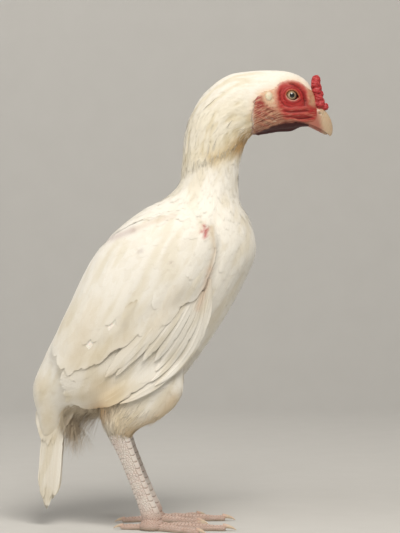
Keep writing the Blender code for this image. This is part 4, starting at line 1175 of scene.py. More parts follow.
def coverBody():
    # all small feathers that grow from the body itself
    roots = scatter()
    t, angle = roots["t"], roots["angle"]
    places = bodySurface(t, angle)
    ways = unit(lieOf(t, angle, places))
    bare = bareness(places)
    wing, left = armLift(t, angle) > 1.5, places[:, 1] > 0
    sizes = np.stack([roots["length"], roots["width"], roots["lift"]], 1)
    bake = unwrapPlace(t, angle)
    keep = rng.uniform(0, 1, len(bare)) > bare * 2.2
    near = smooth(lineDistance(places[:, [0, 2]], face["bare"], True) / 11)
    sizes[:, ::2] *= np.where(t > 14.2, 0.65 + 0.35 * near, 1)[:, None]
    sizes[wing] *= (1.2, 1.1, 0.6)
    tips = (places + ways * sizes[:, :1])[:, [0, 2]]
    keep &= ~wing | (overLine(tips, shieldShape["line"]) > 27) | (tips[:, 0] > 11) | (
        tips[:, 0] < -127)
    body, neck, head = (t >= start for start in henShape["zones"])
    parts = {
        # which of them, their form, how much their headings vary, how much they curl
        "tailRootFeathers": (~body, "body", 0.10, 0.25),
        "bodyFeathers": (body & ~neck & ~wing, "body", 0.10, 0.25),
        "wingCovertsLeft": (body & wing & left, "covert", 0.10, 0.08),
        "wingCovertsRight": (body & wing & ~left, "covert", 0.10, 0.08),
        "neckFeathers": (neck & ~head & ~wing, "hackle", 0.14, 0.6),
        "headFeathers": (head, "small", 0.10, 0.25),
    }
    for name, (mask, form, twist, loose) in parts.items():
        pick = mask & keep
        piece = layFeathers(name, form, places[pick], ways[pick], sizes[pick], bake[pick], bed,
                            twist, loose)
        dress(piece, finishes["coat"], "plumage")


coverBody()
for side in sideName:
    coverShield(side)


thighFeathers = {
    # down the thigh: count round it and size; step; length, width and height of the tips
    "rows": np.array([(0, 24, 1.0), (3, 22, 0.9), (6, 15, 0.62)]), "steps": [(0, 6), (5.6, 3.6)],
    "length": 24, "width": 9.0, "lift": 0.42,
    # where each side lies on the unwrap
    "shift": {1: 0.80, -1: 0.90},
}


def coverThighs():
    # rings of feathers down the thighs, the same on both before their small differences
    stations, last = henShape["thigh"], len(henShape["thigh"]) - 1
    table = thighFeathers["rows"]
    places, ways, sizes, bake = [], [], [], []
    t, row = 0.05, 0
    while t < last - 0.02:
        count = round(np.interp(t, table[:, 0], table[:, 1]))
        angle = (np.arange(count) + 0.5 * (row % 2) + rng.uniform(-0.2, 0.2, count)) / count
        angle *= 2 * math.pi
        here = thighPoints(np.full(count, t), angle)
        after = thighPoints(np.full(count, t + 0.1), angle)
        places.append(here)
        ways.append(after - here)
        size = np.interp(t, table[:, 0], table[:, 2])
        sizes.append(np.stack([
            thighFeathers["length"] * size * rng.uniform(0.85, 1.15, count),
            thighFeathers["width"] * size * rng.uniform(0.9, 1.1, count),
            thighFeathers["lift"] * rng.uniform(0.8, 1.2, count)], 1))
        bake.append(np.stack([angle / (2 * math.pi) * 0.08, np.full(count, t / last * 0.9)], 1))
        speed = np.linalg.norm(np.diff(splineAt(stations, [t, t + 0.1])[:, :2], axis=0)) / 0.1
        t += np.interp(t, *thighFeathers["steps"]) / max(speed, 8)
        row += 1
    places, ways = np.concatenate(places), np.concatenate(ways)
    sizes, bake = np.concatenate(sizes), np.concatenate(bake)
    for side, shift in thighFeathers["shift"].items():
        spots, lies = places * (1, side, 1), ways * (1, side, 1)
        near = np.array([bed.find_nearest(Vector(p))[3] for p in spots])
        pick = near < 0.6
        piece = layFeathers(f"thighFeathers{sideName[side]}", "hackle", spots[pick], lies[pick],
                            sizes[pick], bake[pick] + (shift, 0.03), bed, 0.12, 0.2)
        dress(piece, finishes["coat"], "plumage")


coverThighs()
print("small feathers laid")


def tailChart(x, z):
    # the tail's surface: narrow at its rear edge and wider to the front
    rear = np.array(tailShape["rear"], float)[::-1]
    return -0.3 + tailShape["slope"] * np.maximum(x - np.interp(z, rear[:, 1], rear[:, 0]), 0)


vaneOutlines = {
    # share of the length, width there
    "broad": [(0, 0.4), (0.25, 0.86), (0.55, 1.0), (0.84, 0.97), (0.93, 0.84), (0.98, 0.55),
              (1.0, 0.2)],
    "covert": [(0, 0.5), (0.3, 0.92), (0.6, 1.0), (0.8, 0.90), (0.92, 0.66), (0.98, 0.38),
               (1.0, 0.16)],
    "strip": [(0, 0.45), (0.3, 0.95), (0.6, 1.0), (0.8, 0.86), (0.92, 0.58), (0.98, 0.32),
              (1.0, 0.12)],
    "tail": [(0, 0.4), (0.3, 0.82), (0.6, 0.96), (0.85, 1.0), (0.94, 0.84), (0.98, 0.52),
             (1.0, 0.15)],
}
vaneAcross = np.array([-1, -0.86, -0.68, -0.48, -0.28, -0.1, 0, 0.1, 0.28, 0.48, 0.68, 0.86, 1])
wingShape = {
    "secondaries": {
        # curves of the roots and the tips, from the back to the front
        "count": 12, "roots": [(-88, 196), (-54, 213), (-26, 223), (-4, 238), (8, 250)],
        "tips": [(-124.5, 163), (-126, 149), (-118, 133), (-90, 131.5), (-45, 155)],
        "width": (29, 23), "height": (4.4, 2.8), "tilt": 0.9, "sag": 0.10, "stray": 0.9,
        "outline": "broad", "rows": 40, "ease": 0.35},
    "strips": {
        # primaries and their coverts, fanned from the wrist, the lowest first:
        # root, tip, width, height, how far it bends
        "list": [((27, 254), (7, 183), 7, 0.4, 0.06), ((27, 254), (0, 173), 8, 0.5, 0.09),
                 ((26, 252), (-8, 164), 9, 0.7, 0.11), ((25, 250), (-25, 153), 10, 1.0, 0.13),
                 ((24, 248), (-34, 148), 11, 1.3, 0.14), ((23, 246), (-42, 144), 11, 1.6, 0.14),
                 ((22, 245), (-50, 139), 12, 1.9, 0.14), ((21, 243), (-57, 136), 12, 2.1, 0.14),
                 ((20, 242), (-64, 133), 13, 2.3, 0.14), ((20, 240), (-27, 152), 10, 3.0, 0.13),
                 ((18, 242), (-30, 157), 10, 3.5, 0.08), ((15, 243), (-27, 168), 10, 3.9, 0.05),
                 ((12, 245), (-27, 178), 11, 4.4, 0.03), ((8, 246), (-40, 178), 12, 4.8, 0.01),
                 ((4, 248), (-56, 173), 13, 5.2, 0.0), ((0, 248), (-67, 163), 14, 5.5, -0.01),
                 ((-6, 246), (-79, 160), 15, 5.6, 0.02)],
        "hidden": 9, "tilt": 1.5, "outline": "strip", "rows": 36, "ease": 0.3},
}
tailShape = {
    "rear": [(-150, 150), (-147, 112), (-147, 90), (-151, 55), (-152, 20)],
    "slope": 0.34,
    "rectrices": {
        "count": 11, "roots": [(-142, 132), (-134, 127), (-125, 122)],
        "tips": [(-148, 36), (-143, 21), (-140, 27), (-136, 33), (-132, 35)],
        "width": (8, 9), "height": (0.2, 2.6), "tilt": 1.5, "sag": 0.0, "stray": 1.8,
        "outline": "tail", "rows": 40, "ease": 0.15},
    "coverts": {
        "count": 12, "roots": [(-148, 162), (-137, 158), (-120, 150), (-112, 148)],
        "tips": [(-149, 94), (-141, 88), (-132, 94), (-121, 108)], "width": (11, 12),
        "height": (1.6, 2.6), "tilt": 0.9, "sag": 0.02, "stray": 3.2, "outline": "covert",
        "rows": 28, "ease": 0.6},
}


def vaneRow(spec, random):
    # the feathers of one row, from its list or spread along the curves of its roots and tips
    for root, tip, width, height, sag in spec.get("list", []):
        root, tip = np.array(root, float), np.array(tip) + random.normal(0, 0.5, 2)
        root += (root - tip) * (spec["hidden"] / np.linalg.norm(root - tip))
        yield root, tip, width, height, {**spec, "sag": sag}
    if "list" in spec:
        return
    count = spec["count"]
    spread = (np.arange(count) + random.uniform(-0.12, 0.12, count)) / (count - 1)
    spread = np.clip(spread, 0, 1)
    roots = splineAt(spec["roots"], spread * (len(spec["roots"]) - 1))
    tips = splineAt(spec["tips"], spread * (len(spec["tips"]) - 1))
    tips += random.normal(0, 1, tips.shape) * (0.9, spec["stray"])
    for n in range(count):
        width = np.interp(spread[n], (0, 1), spec["width"]) * random.uniform(0.94, 1.06)
        height = np.interp(spread[n], (0, 1), spec["height"])
        yield roots[n], tips[n], width, height, spec


def vaneSheet(root, tip, width, height, spec, chart, random):
    # one long feather's web: its upper side, and along and across it in millimetres
    u = (1 - (1 - np.linspace(0, 1, spec["rows"])) ** 1.25)[:, None]
    v = vaneAcross[None]
    way = tip - root
    length = np.linalg.norm(way)
    aside = np.array([-way[1], way[0]]) / length
    centre = root + u * way + aside * (spec["sag"] * length * 4 * u * (1 - u))
    run = unit(np.gradient(centre, axis=0))
    shape = np.interp(u[:, 0], *np.array(vaneOutlines[spec["outline"]]).T)[:, None]
    half = width / 2 * shape * np.where(v > 0, 0.84, 1.16)
    half = half * (1 + 0.03 * np.sin(u * 17 + random.uniform(0, 6)) * np.abs(v))
    for _ in range(random.integers(1, 5)):
        # a split where the barbs have parted
        place, side = random.uniform(0.3, 0.97), random.choice((-1, 1))
        deep, long = random.uniform(0.12, 0.45), random.uniform(0.010, 0.026)
        split = deep * np.exp(-((u - place) / long) ** 2)
        half = half * np.where(v * side > 0, 1 - split * np.abs(v), 1)
    lean = 0.35 - 1.05 * smooth((u - 0.72) / 0.28)
    along = np.abs(v) * half * lean
    along = along + random.normal(0, 0.35, half.shape) * smooth((u - 0.75) / 0.2) * np.abs(v)
    x = centre[:, :1] - run[:, 1:] * v * half + run[:, :1] * along
    z = centre[:, 1:] + run[:, :1] * v * half + run[:, 1:] * along
    rise = height * (0.1 + 0.9 * smooth(u / 0.6))
    rise = rise + spec["tilt"] * (0.5 + 0.5 * v) * smooth(u / 0.4)
    rise = rise - 0.55 * v ** 2 + 0.5 * (1 - 0.65 * u) * np.exp(-(v * half / 0.7) ** 2)
    rise = rise + 0.30 * np.sin(u * 8 + v * 2.2 + random.uniform(0, 6)) * np.abs(v)
    rise = rise + random.uniform(0, 0.7) * u ** 4
    base = chart(x, z)
    lie = np.stack([base - chart(x + 2, z), 2 + 0 * x, base - chart(x, z + 2)], 2)
    return (np.stack([x, base + rise, z], 2), u * length + along, v * half, u + 0 * v, lie)


def bothSheets(top, low):
    # values of a closed feather: its upper sheet, then the lower one inside their rim
    shape = (-1, *top.shape[2:])
    return np.concatenate([top.reshape(shape), low[1:-1, 1:-1].reshape(shape)])


def makeVanes(name, feathers, random):
    # long feathers joined in one mesh; each has its row of a shape, its chart and its side
    parts = {key: [] for key in ("points", "faces", "lies", "ease", "vane", "patch", "share",
                                 "tone", "tint")}
    start = 0
    for (root, tip, width, height, spec), chart, side in feathers:
        top, along, across, u, lie = vaneSheet(root, tip, width, height, spec, chart, random)
        columns = u.shape[1]
        low = top.copy()
        low[..., 1] -= 0.30 + 0.45 * (1 - np.abs(vaneAcross)) ** 2
        mine = bothSheets(top, low) * (1, side, 1)
        across, along, u = (bothSheets(values, values) for values in (across, along, u))
        base = bakePlaces(mine[columns // 2:columns // 2 + 1])[0]
        found = {
            "points": mine, "lies": bothSheets(lie, lie) * (1, side, 1),
            "faces": (featherFaces(spec["rows"], columns) + start)[:, ::side],
            "ease": np.full(len(mine), spec["ease"]), "share": u,
            "vane": np.stack([0.5 + across * 0.01, along * 0.01], 1),
            "patch": base + np.stack([across / width * 0.0028, (u - 0.5) * 0.003], 1),
            "tone": np.full(len(mine), random.uniform(0, 1)),
            "tint": coatTints(mine) * random.uniform(0.965, 1.0)}
        for key, values in found.items():
            parts[key].append(values)
        start += len(mine)
    parts = {key: np.concatenate(values) for key, values in parts.items()}
    piece = makePiece(name, parts["points"], parts["faces"],
                      {"Vane": parts["vane"], "OFBake": parts["patch"]},
                      {"share": parts["share"], "tone": parts["tone"]}, {"tint": parts["tint"]})
    piece.data.set_sharp_from_angle(angle=math.radians(60))
    easeNormals(piece, parts["lies"], parts["ease"])
    print(name, len(feathers), "long feathers", len(parts["faces"]) * 2, "triangles")
    return piece


def layLongFeathers():
    # both folded wings, each with its own random numbers, and the tail
    for side, seed in ((1, 5), (-1, 6)):
        random = np.random.default_rng(seed)
        feathers = [(f, wingChart, side) for row in ("secondaries", "strips")
                    for f in vaneRow(wingShape[row], random)]
        piece = makeVanes(f"wingFeathers{sideName[side]}", feathers, random)
        dress(piece, finishes["flight"], "plumage", "wing_left" if side > 0 else "wing_right")
    random = np.random.default_rng(7)
    feathers = [(f, tailChart, side) for side in (1, -1) for row in ("rectrices", "coverts")
                for f in vaneRow(tailShape[row], random)]
    dress(makeVanes("tailFeathers", feathers, random), finishes["flight"], "plumage", "tail")


layLongFeathers()
print("long feathers laid")

footShape = {
    "hock": (-67, 34, 103), "ball": (-31, 37, 12.5),
    # share of the way down, half depth, half width
    "shank": np.array([(-0.06, 8, 7), (0.03, 10.6, 8.6), (0.12, 9.6, 7.8), (0.26, 8.5, 6.7),
                       (0.55, 8.2, 6.4), (0.80, 8.5, 6.8), (0.93, 9.5, 8), (1.03, 10, 9.2)]),
    "ballHalf": (12.6, 12.2, 10.5),
    "ballLevels": [(0, 0.72), (0.22, 0.95), (0.55, 1), (0.95, 0.86), (1.35, 0.6)],
    # heading in degrees, length, half thickness, length of the claw
    "toes": {"inner": (-27, 47, 4.3, 12.5), "middle": (4, 68, 4.8, 13.5),
             "outer": (36, 52, 4.3, 12), "hind": (-166, 25, 3.9, 10)},
    "toeStart": 9.0, "taper": 0.30, "pad": 0.10, "flat": 0.94, "middle": 0.86,
    "voxel": 0.62,
    # plates: pitch on the front, the back and the toes; half width on the front and the back;
    # radius at which they are laid out round the shank; how much the scales stand in
    "plate": 7.3, "backPlate": 5.6, "toePlate": 3.7, "plateWidth": 8.0, "backWidth": 5.6,
    "round": 7.6, "sunk": 0.28,
}
# a claw's turn in degrees, how far it starts inside the toe, its girth at the root and the tip,
# how it sharpens, height of its root and how much of its fall it keeps
clawShape = {"turn": 62, "sunk": 3.0, "root": 0.52, "tip": 0.28, "sharp": 0.75, "height": 1.05,
             "drop": 0.62}


def tubePiece(name, rings):
    # a closed piece through rings of points
    rings = np.asarray(rings)
    piece = makePiece(name, rings.reshape(-1, 3), tubeFaces(*rings.shape[:2]))
    bpy.context.view_layer.update()
    faceOut(piece)
    return piece


def toeLine(toe):
    # where a toe starts, the ways along it and to its left, its length, thickness and claw
    heading, length, thick, claw = footShape["toes"][toe]
    way = np.array([math.cos(math.radians(heading)), math.sin(math.radians(heading)), 0])
    start = np.array([*footShape["ball"][:2], 0]) + way * footShape["toeStart"]
    return start, way, np.array([-way[1], way[0], 0]), length, thick, claw


def shankAxes():
    # the shank's upper end, the way down it, its length and the ways fore and across
    hock, ball = np.array(footShape["hock"], float), np.array(footShape["ball"], float)
    size = np.linalg.norm(ball - hock)
    way = (ball - hock) / size
    fore = np.cross((0, 1, 0), way)
    fore *= np.sign(fore[0]) / np.linalg.norm(fore)
    return hock, way, size, fore, np.cross(way, fore)


def formFoot():
    # shank, ball and toes as one closed form
    hock, way, size, fore, across = shankAxes()
    angles = 2 * math.pi * np.arange(40) / 40
    rows = footShape["shank"]
    rings = []
    for share in np.linspace(rows[0, 0], rows[-1, 0], 40):
        depth, width = (np.interp(share, rows[:, 0], rows[:, k]) for k in (1, 2))
        c, s = np.cos(angles)[:, None], np.sin(angles)[:, None]
        rings.append(hock + way * size * share + fore * depth * c + across * width * s)
    pieces = [tubePiece("foot", rings)]
    half = footShape["ballHalf"]
    levels = splineAt(footShape["ballLevels"], np.linspace(0, 4, 16))
    rings = []
    for level, swell in levels:
        rings.append(np.stack([footShape["ball"][0] + half[0] * swell * np.cos(angles),
                               footShape["ball"][1] + half[1] * swell * np.sin(angles),
                               np.full(40, half[2] * level)], 1))
    pieces.append(tubePiece("ball", rings))
    for toe in footShape["toes"]:
        start, way, left, length, thick, _ = toeLine(toe)
        plates = max(3, round(length / 11))
        rings = []
        for share in np.append(np.linspace(0, 0.94, 44), (0.965, 0.985, 1.0)):
            girth = thick * (1 - footShape["taper"] * share)
            end = np.interp(share, (0.94, 0.965, 0.985, 1.0), (1, 0.93, 0.80, 0.5))
            height = girth * footShape["middle"]
            girth *= (1 + footShape["pad"] * math.cos(math.pi * share * plates)) * end
            wide = girth * footShape["flat"] * np.cos(angles)
            high = height + girth * np.sin(angles)
            rings.append(start + way * length * share + left * wide[:, None]
                         + np.array([0, 0, 1]) * high[:, None])
        pieces.append(tubePiece("toe", rings))
    selectOnly(*pieces)
    bpy.ops.object.join()
    foot = pieces[0]
    applyStep(foot, "REMESH", mode="VOXEL", voxel_size=footShape["voxel"] * mm)
    applyStep(foot, "SMOOTH", factor=0.6, iterations=5)
    return foot


def cells(points, size, seed):
    # distance from the borders of rounded scales of this size, 0 on a border
    found = np.empty(len(points))
    for n, p in enumerate(np.asarray(points) / size + seed):
        near = noise.voronoi(Vector(p))[0]
        found[n] = near[1] - near[0]
    return found


def plateLift(along, pitch, edge, rise, stagger=0.0):
    # pillowed plates that overlap down the leg
    place = along / pitch + stagger
    share = place - np.floor(place)
    near = np.minimum(np.minimum(share, 1 - share) * pitch, edge)
    return rise * smooth(near / 1.15) * (0.75 + 0.5 * share)


def scaleFoot(foot):
    # broad plates down the front and the back, small scales between them, plates on the toes
    places, facing = pointsOf(foot)
    hock, way, _, fore, across = shankAxes()
    along = (places - hock) @ way
    radial = places - hock - along[:, None] * way
    angle = np.arctan2(radial @ across, radial @ fore)
    aside = angle * footShape["round"]
    behind = (math.pi - np.abs(angle)) * footShape["round"]
    wide, backWide = footShape["plateWidth"], footShape["backWidth"]
    front = plateLift(along + 0.09 * (np.abs(aside) - 4) ** 2, footShape["plate"],
                      np.minimum(np.abs(aside) * 1.1, wide - np.abs(aside)), 0.62,
                      np.where(aside > 0, 0.5, 0.0))
    back = plateLift(along, footShape["backPlate"], np.minimum(behind * 1.1, backWide - behind),
                     0.5, np.where(angle > 0, 0.5, 0.0))
    grains = cells(places, 2.5, 0.0)
    small = 0.36 * smooth(grains / 0.35)
    lift = np.where(np.abs(aside) < wide, front, np.where(behind < backWide, back, small))
    low = smooth((21 - places[:, 2]) / 6)
    fine = 0.30 * smooth(cells(places, 1.7, 3.3) / 0.35)
    lift = lift * (1 - low) + fine * low
    for toe in footShape["toes"]:
        start, way, left, length, thick, _ = toeLine(toe)
        run = (places - start) @ way
        off = (places - start) @ left
        height = places[:, 2] - thick * 0.8
        turn = np.arctan2(off, np.maximum(height, 0.01))
        mine = ((run > -1) & (run < length + 3) & (np.abs(off) < thick * 1.25)
                & (height > -0.3 * thick) & (places[:, 2] < thick * 2.6))
        edge = (1.2 - np.abs(turn)) * thick
        plates = plateLift(run + 0.10 * off ** 2, footShape["toePlate"], np.maximum(edge, 0),
                           0.46)
        share = smooth((run + 1) / 5) * mine * (edge > 0)
        lift = lift * (1 - share) + plates * share
    sole = smooth(-facing[:, 2] * 1.6) * smooth((8 - places[:, 2]) / 3)
    lift = lift * (1 - sole) + 0.2 * smooth(grains / 0.3) * sole
    places = places + facing * (lift - footShape["sunk"])[:, None]
    places[:, 2] = np.maximum(places[:, 2], 0)
    movePoints(foot, places)
    setAttributes(foot, {"hollow": hollowness(foot), "toe": smooth((30 - places[:, 2]) / 22),
                         "sole": sole})
    return foot


def extrudeRings(name, rings):
    # a circle that is extruded from ring to ring, closed at both ends
    bpy.ops.object.select_all(action="DESELECT")
    bpy.ops.mesh.primitive_circle_add(vertices=len(rings[0]), radius=mm, fill_type="NGON")
    piece = bpy.context.object
    piece.name = piece.data.name = name
    bpy.ops.object.mode_set(mode="EDIT")
    bpy.ops.mesh.select_all(action="SELECT")
    edit = bmesh.from_edit_mesh(piece.data)
    for vertex, place in zip(edit.verts, rings[0]):
        vertex.co = Vector(place) * mm
    for before, ring in zip(rings, rings[1:]):
        bpy.ops.mesh.extrude_region_move()
        edit = bmesh.from_edit_mesh(piece.data)
        for vertex in edit.verts:
            if vertex.select:
                gap = ((before - np.array(vertex.co) / mm) ** 2).sum(1)
                vertex.co = Vector(ring[int(gap.argmin())]) * mm
        bmesh.update_edit_mesh(piece.data)
    bpy.ops.object.mode_set(mode="OBJECT")
    faceOut(piece)
    bpy.ops.object.shade_smooth()
    return piece


def makeClaw(toe, side):
    # a horn that bends down from the toe's end and thins to its tip
    start, way, left, length, thick, claw = toeLine(toe)
    sunk = clawShape["sunk"]
    root = start + way * (length - sunk)
    full = math.radians(clawShape["turn"])
    bend = claw / full
    angles = 2 * math.pi * np.arange(18) / 18
    oval = np.where(np.sin(angles) > 0, 1.1, 0.85)
    up = np.array([0, 0, 1.0])
    rings = []
    for u in np.append(np.linspace(0, 0.93, 15), 0.985):
        out = bend * math.sin(full * u) + sunk * u
        drop = bend * (1 - math.cos(full * u))
        girth = thick * clawShape["root"] * (1 - u) ** clawShape["sharp"] + clawShape["tip"] * (
            1 - u * 0.8)
        height = max(thick * clawShape["height"] - drop * clawShape["drop"], girth * 1.05 + 0.05)
        lean = full * u * 0.6
        rise = up * math.cos(lean) + way * math.sin(lean)
        wide, high = girth * 0.86 * np.cos(angles), girth * oval * np.sin(angles)
        rings.append(root + way * out + up * height + left * wide[:, None]
                     + rise * high[:, None])
    piece = extrudeRings(f"claw{toe.capitalize()}{sideName[side]}", np.array(rings) * (1, side, 1))
    places, _ = pointsOf(piece)
    run = (places * (1, side, 1) - root) @ way
    setAttributes(piece, {"along": run, "root": smooth((5.5 - run) / 3)})
    return dress(piece, finishes["claw"], "claw_horn",
                 f"claw_{toe}_" + ("left" if side > 0 else "right"))


def makeFeet():
    # both feet and their claws
    foot = scaleFoot(formFoot())
    foot.name = foot.data.name = "footLeft"
    other = mirroredCopy(foot, "footRight")
    for piece, side in ((foot, "left"), (other, "right")):
        dress(piece, finishes["leg"], "leg_scales", f"shank_{side}",
              *(f"toe_{toe}_{side}" for toe in footShape["toes"]))
    for toe in footShape["toes"]:
        for side in (1, -1):
            makeClaw(toe, side)
    print("feet made", len(foot.data.polygons) * 2, "triangles each")


makeFeet()

billShape = {
    # culmen x and z, lower edge x and z, half width
    "upper": [(131, 449, 124, 425.5, 8.4), (137, 445.5, 129, 423.8, 8.6),
              (142, 442, 133, 422.8, 8.4), (146.5, 440, 137, 421.3, 7.8),
              (150, 437, 141, 419.6, 6.9), (153.2, 433.2, 144.5, 417.9, 6.0),
              (155.6, 428.5, 147.6, 416.2, 4.9), (157.2, 424, 150.4, 414.3, 3.8),
              (157.9, 419.5, 152.8, 412.6, 2.7), (157.9, 415.6, 154.4, 411.2, 1.8),
              (157.2, 412.2, 155.6, 410.3, 0.8)],
    # upper edge x and z, lower edge x and z, half width
    "lower": [(124, 427, 123, 422.5, 6.4), (133, 423.6, 133.6, 419.6, 6.2),
              (141, 419.7, 141.6, 415.8, 4.8), (148.5, 416, 148.8, 412.4, 2.8),
              (151.8, 413.4, 152.2, 411.6, 0.9)],
    # place, half length, half height and turn in degrees of the nostril
    "nostril": {"at": (144.6, 434.2), "half": 2.2, "high": 0.9, "turn": -38},
    "sides": 52, "rows": (64, 44),
}


def billRing(row, upper):
    # a ridge above, full sides, and below a flat or, under the jaw, a rounded keel
    topX, topZ, lowX, lowZ, half = row
    k = np.linspace(0, 1, billShape["sides"] // 2 - 5) ** 1.15
    if upper:
        inner = np.linspace(1, 0, 7)[1:-1]
        down = [*(k + 0.02 * smooth((k - 0.8) / 0.2)), *(1 - 0.10 * (1 - inner ** 2)), 0.9]
        out = [*(half * (1 - (1 - k) ** 2.3) ** 0.56), *(half * 0.92 * inner), 0.0]
    else:
        inner = np.linspace(0, 1, 7)[1:-1]
        down = [0.08, *(0.08 * (1 - inner ** 2)), *k]
        out = [0.0, *(half * 0.92 * inner), half, *(half * (1 - k[1:] ** 2.3) ** 0.56)]
    ring = [(topX + (lowX - topX) * d, o, topZ + (lowZ - topZ) * d) for d, o in zip(down, out)]
    return ring + [(x, -y, z) for x, y, z in ring[-2:0:-1]]


def makeBill():
    # both halves, worn a little, with the nostrils and the lids over them in the upper half
    for part, rows in zip(("upper", "lower"), billShape["rows"]):
        upper = part == "upper"
        table = billShape[part]
        rings = [billRing(row, upper)
                 for row in splineAt(table, np.linspace(0, len(table) - 1, rows))]
        piece = extrudeRings(f"bill{part.capitalize()}", np.array(rings))
        places, facing = pointsOf(piece)
        x, z = places[:, 0], places[:, 2]
        lift = 0.10 * noiseAt(places, 2.2, 4, (1, 1, 0.5)) + 0.05 * noiseAt(places, 0.8, 5)
        nostrilShade = 0 * lift
        if upper:
            spot = billShape["nostril"]
            turn = math.radians(spot["turn"])
            away = places[:, [0, 2]] - spot["at"]
            a = away @ (math.cos(turn), math.sin(turn))
            b = away @ (-math.sin(turn), math.cos(turn))
            far = np.sqrt((a / spot["half"]) ** 2 + (b / spot["high"]) ** 2)
            sideOn = np.abs(facing[:, 1]) > 0.25
            # where the nostril's slit is painted dark as its shade
            nostrilShade = (1 - smooth((far - 0.35) / 0.5)) * sideOn
            over = np.sqrt((a / 4.0) ** 2 + ((b - 1.9) / 1.7) ** 2)
            lift -= 1.5 * (1 - smooth((far - 0.55) / 0.5)) * sideOn
            lift += 0.9 * (1 - smooth(over - 0.2)) * sideOn
        movePoints(piece, places + facing * lift[:, None])
        border = 142.4 + np.maximum(436.5 - z, 0) * 0.22
        root = smooth((border + 1.1 * noiseAt(places, 3.0, 6) - x) / 7 + 0.5)
        setAttributes(piece, {"along": (x - 133) + (445 - z) * 0.45, "root": root, "nostrilShade": nostrilShade})
        dress(piece, finishes["bill"], "bill_horn", f"bill_{part}")


makeBill()
print("bill made")

combShape = {
    # bulbs along the middle and at each side: x, z, half length, half width, half height
    "middle": [(140.4, 468.4, 4.9, 3.4, 6.0), (141.4, 461.0, 5.4, 3.6, 5.2),
               (143.0, 453.8, 5.7, 3.8, 5.2), (144.6, 446.8, 5.3, 3.9, 4.8),
               (149.4, 440.9, 4.4, 3.6, 4.0), (140.9, 447.5, 3.6, 3.6, 5.0),
               (143.2, 440.6, 4.8, 3.8, 3.8)],
    "side": [(139.6, 464.6, 4.6, 3.2, 4.6), (140.6, 457.2, 5.0, 3.4, 4.6),
             (142.4, 450.2, 5.0, 3.5, 4.4), (144.8, 443.6, 4.6, 3.4, 3.8),
             (140.6, 444.4, 3.4, 3.0, 4.2)],
    # how far the side rows stand out, and how far forward the left one is shifted
    "sideOut": 2.9, "shift": 0.5,
    # the bulb behind them all, its turn in degrees; distance of the creases across the comb
    "base": (140.4, 452, 3.6, 4.4, 17.5), "baseTurn": 13, "crease": 4.4,
    "voxel": 0.42,
}


def makeComb():
    # bulbs that are joined, softened, creased across and covered with warts
    bpy.ops.object.select_all(action="DESELECT")
    shift, out = combShape["shift"], combShape["sideOut"]
    rows = [(0, 0, 0, combShape["middle"]), (shift, out, 0, combShape["side"]),
            (0, -out, 0, combShape["side"]), (0, 0, combShape["baseTurn"], [combShape["base"]])]
    pieces = []
    for ahead, y, turn, bulbs in rows:
        for x, z, *half in bulbs:
            bpy.ops.mesh.primitive_ico_sphere_add(
                subdivisions=4, radius=1, location=[at * mm for at in (x + ahead, y, z)],
                scale=[size * mm for size in half], rotation=(0, math.radians(-turn), 0))
            pieces.append(bpy.context.object)
    selectOnly(*pieces)
    bpy.ops.object.join()
    comb = pieces[0]
    comb.name = comb.data.name = "pinkComb"
    bpy.ops.object.transform_apply(location=True, rotation=True, scale=True)
    applyStep(comb, "REMESH", mode="VOXEL", voxel_size=combShape["voxel"] * mm)
    applyStep(comb, "SMOOTH", factor=0.6, iterations=5)
    places, facing = pointsOf(comb)
    level = (places[:, 2] + 0.30 * (places[:, 0] - 142) + 0.9 * noiseAt(places, 4.0, 7)
             + 1.2 * np.sign(places[:, 1])) / combShape["crease"]
    crease = np.abs(level - np.round(level)) * combShape["crease"]
    lumps = cells(places * (1, 1, 1.35), 4.0, 2.0)
    lift = (0.36 * noiseAt(places, 4.2, 8) + 0.07 * noiseAt(places, 1.4, 9)
            + 0.42 * smooth(lumps / 0.6) - 0.55 * np.exp(-(crease / 0.75) ** 2) - 0.05)
    movePoints(comb, places + facing * lift[:, None])
    setAttributes(comb, {"hollow": hollowness(comb)})
    dress(comb, finishes["comb"], "comb_skin", "comb")


makeComb()
print("comb made")

lidShape = {
    # turn of the opening in degrees, its half length and half height, its corner, how far forward
    "turn": -14, "opening": (6.1, 5.0), "corner": 1.1, "ahead": 0.6, "sides": 128,
    # distance out from the lid's edge, height over the skin
    "folds": [(1.1, -1.6), (0.35, -0.75), (0.0, -0.25), (0.05, 0.12), (0.4, 0.42),
              (1.0, 0.62), (1.55, 0.45), (1.95, 0.18), (2.3, 0.42), (2.9, 0.62),
              (3.4, 0.40), (3.8, 0.12), (4.2, 0.15), (4.8, -0.1), (5.4, -0.8)],
    # distance out of the two folds that lie on the eyeball, and how thick the lids are
    "onEye": (0.5, -0.2), "thick": 1.2,
    # colours of the upper lid's rim; of the lower lid's rim, paler as a painted highlight; of the
    # inner margins on the eyeball, painted dark as the shade between lid and eyeball
    "edge": (0.50, 0.17, 0.065), "lowLidHighlight": (0.60, 0.31, 0.25), "lidGapShade": (0.16, 0.05, 0.03),
}


def headAxes(at, side):
    # the skin's place at a point of the side view, and the way it faces, forward and up there
    hit, facing, _, _ = bed.ray_cast(Vector((at[0], side * 60, at[1])), Vector((0, -side, 0)))
    facing = Vector(facing).normalized()
    forward = Vector((1, 0, 0))
    forward = (forward - facing * forward.dot(facing)).normalized()
    up = Vector((0, 0, 1)) - facing * facing.z
    up = (up - forward * up.dot(forward)).normalized()
    return hit, facing, forward, up


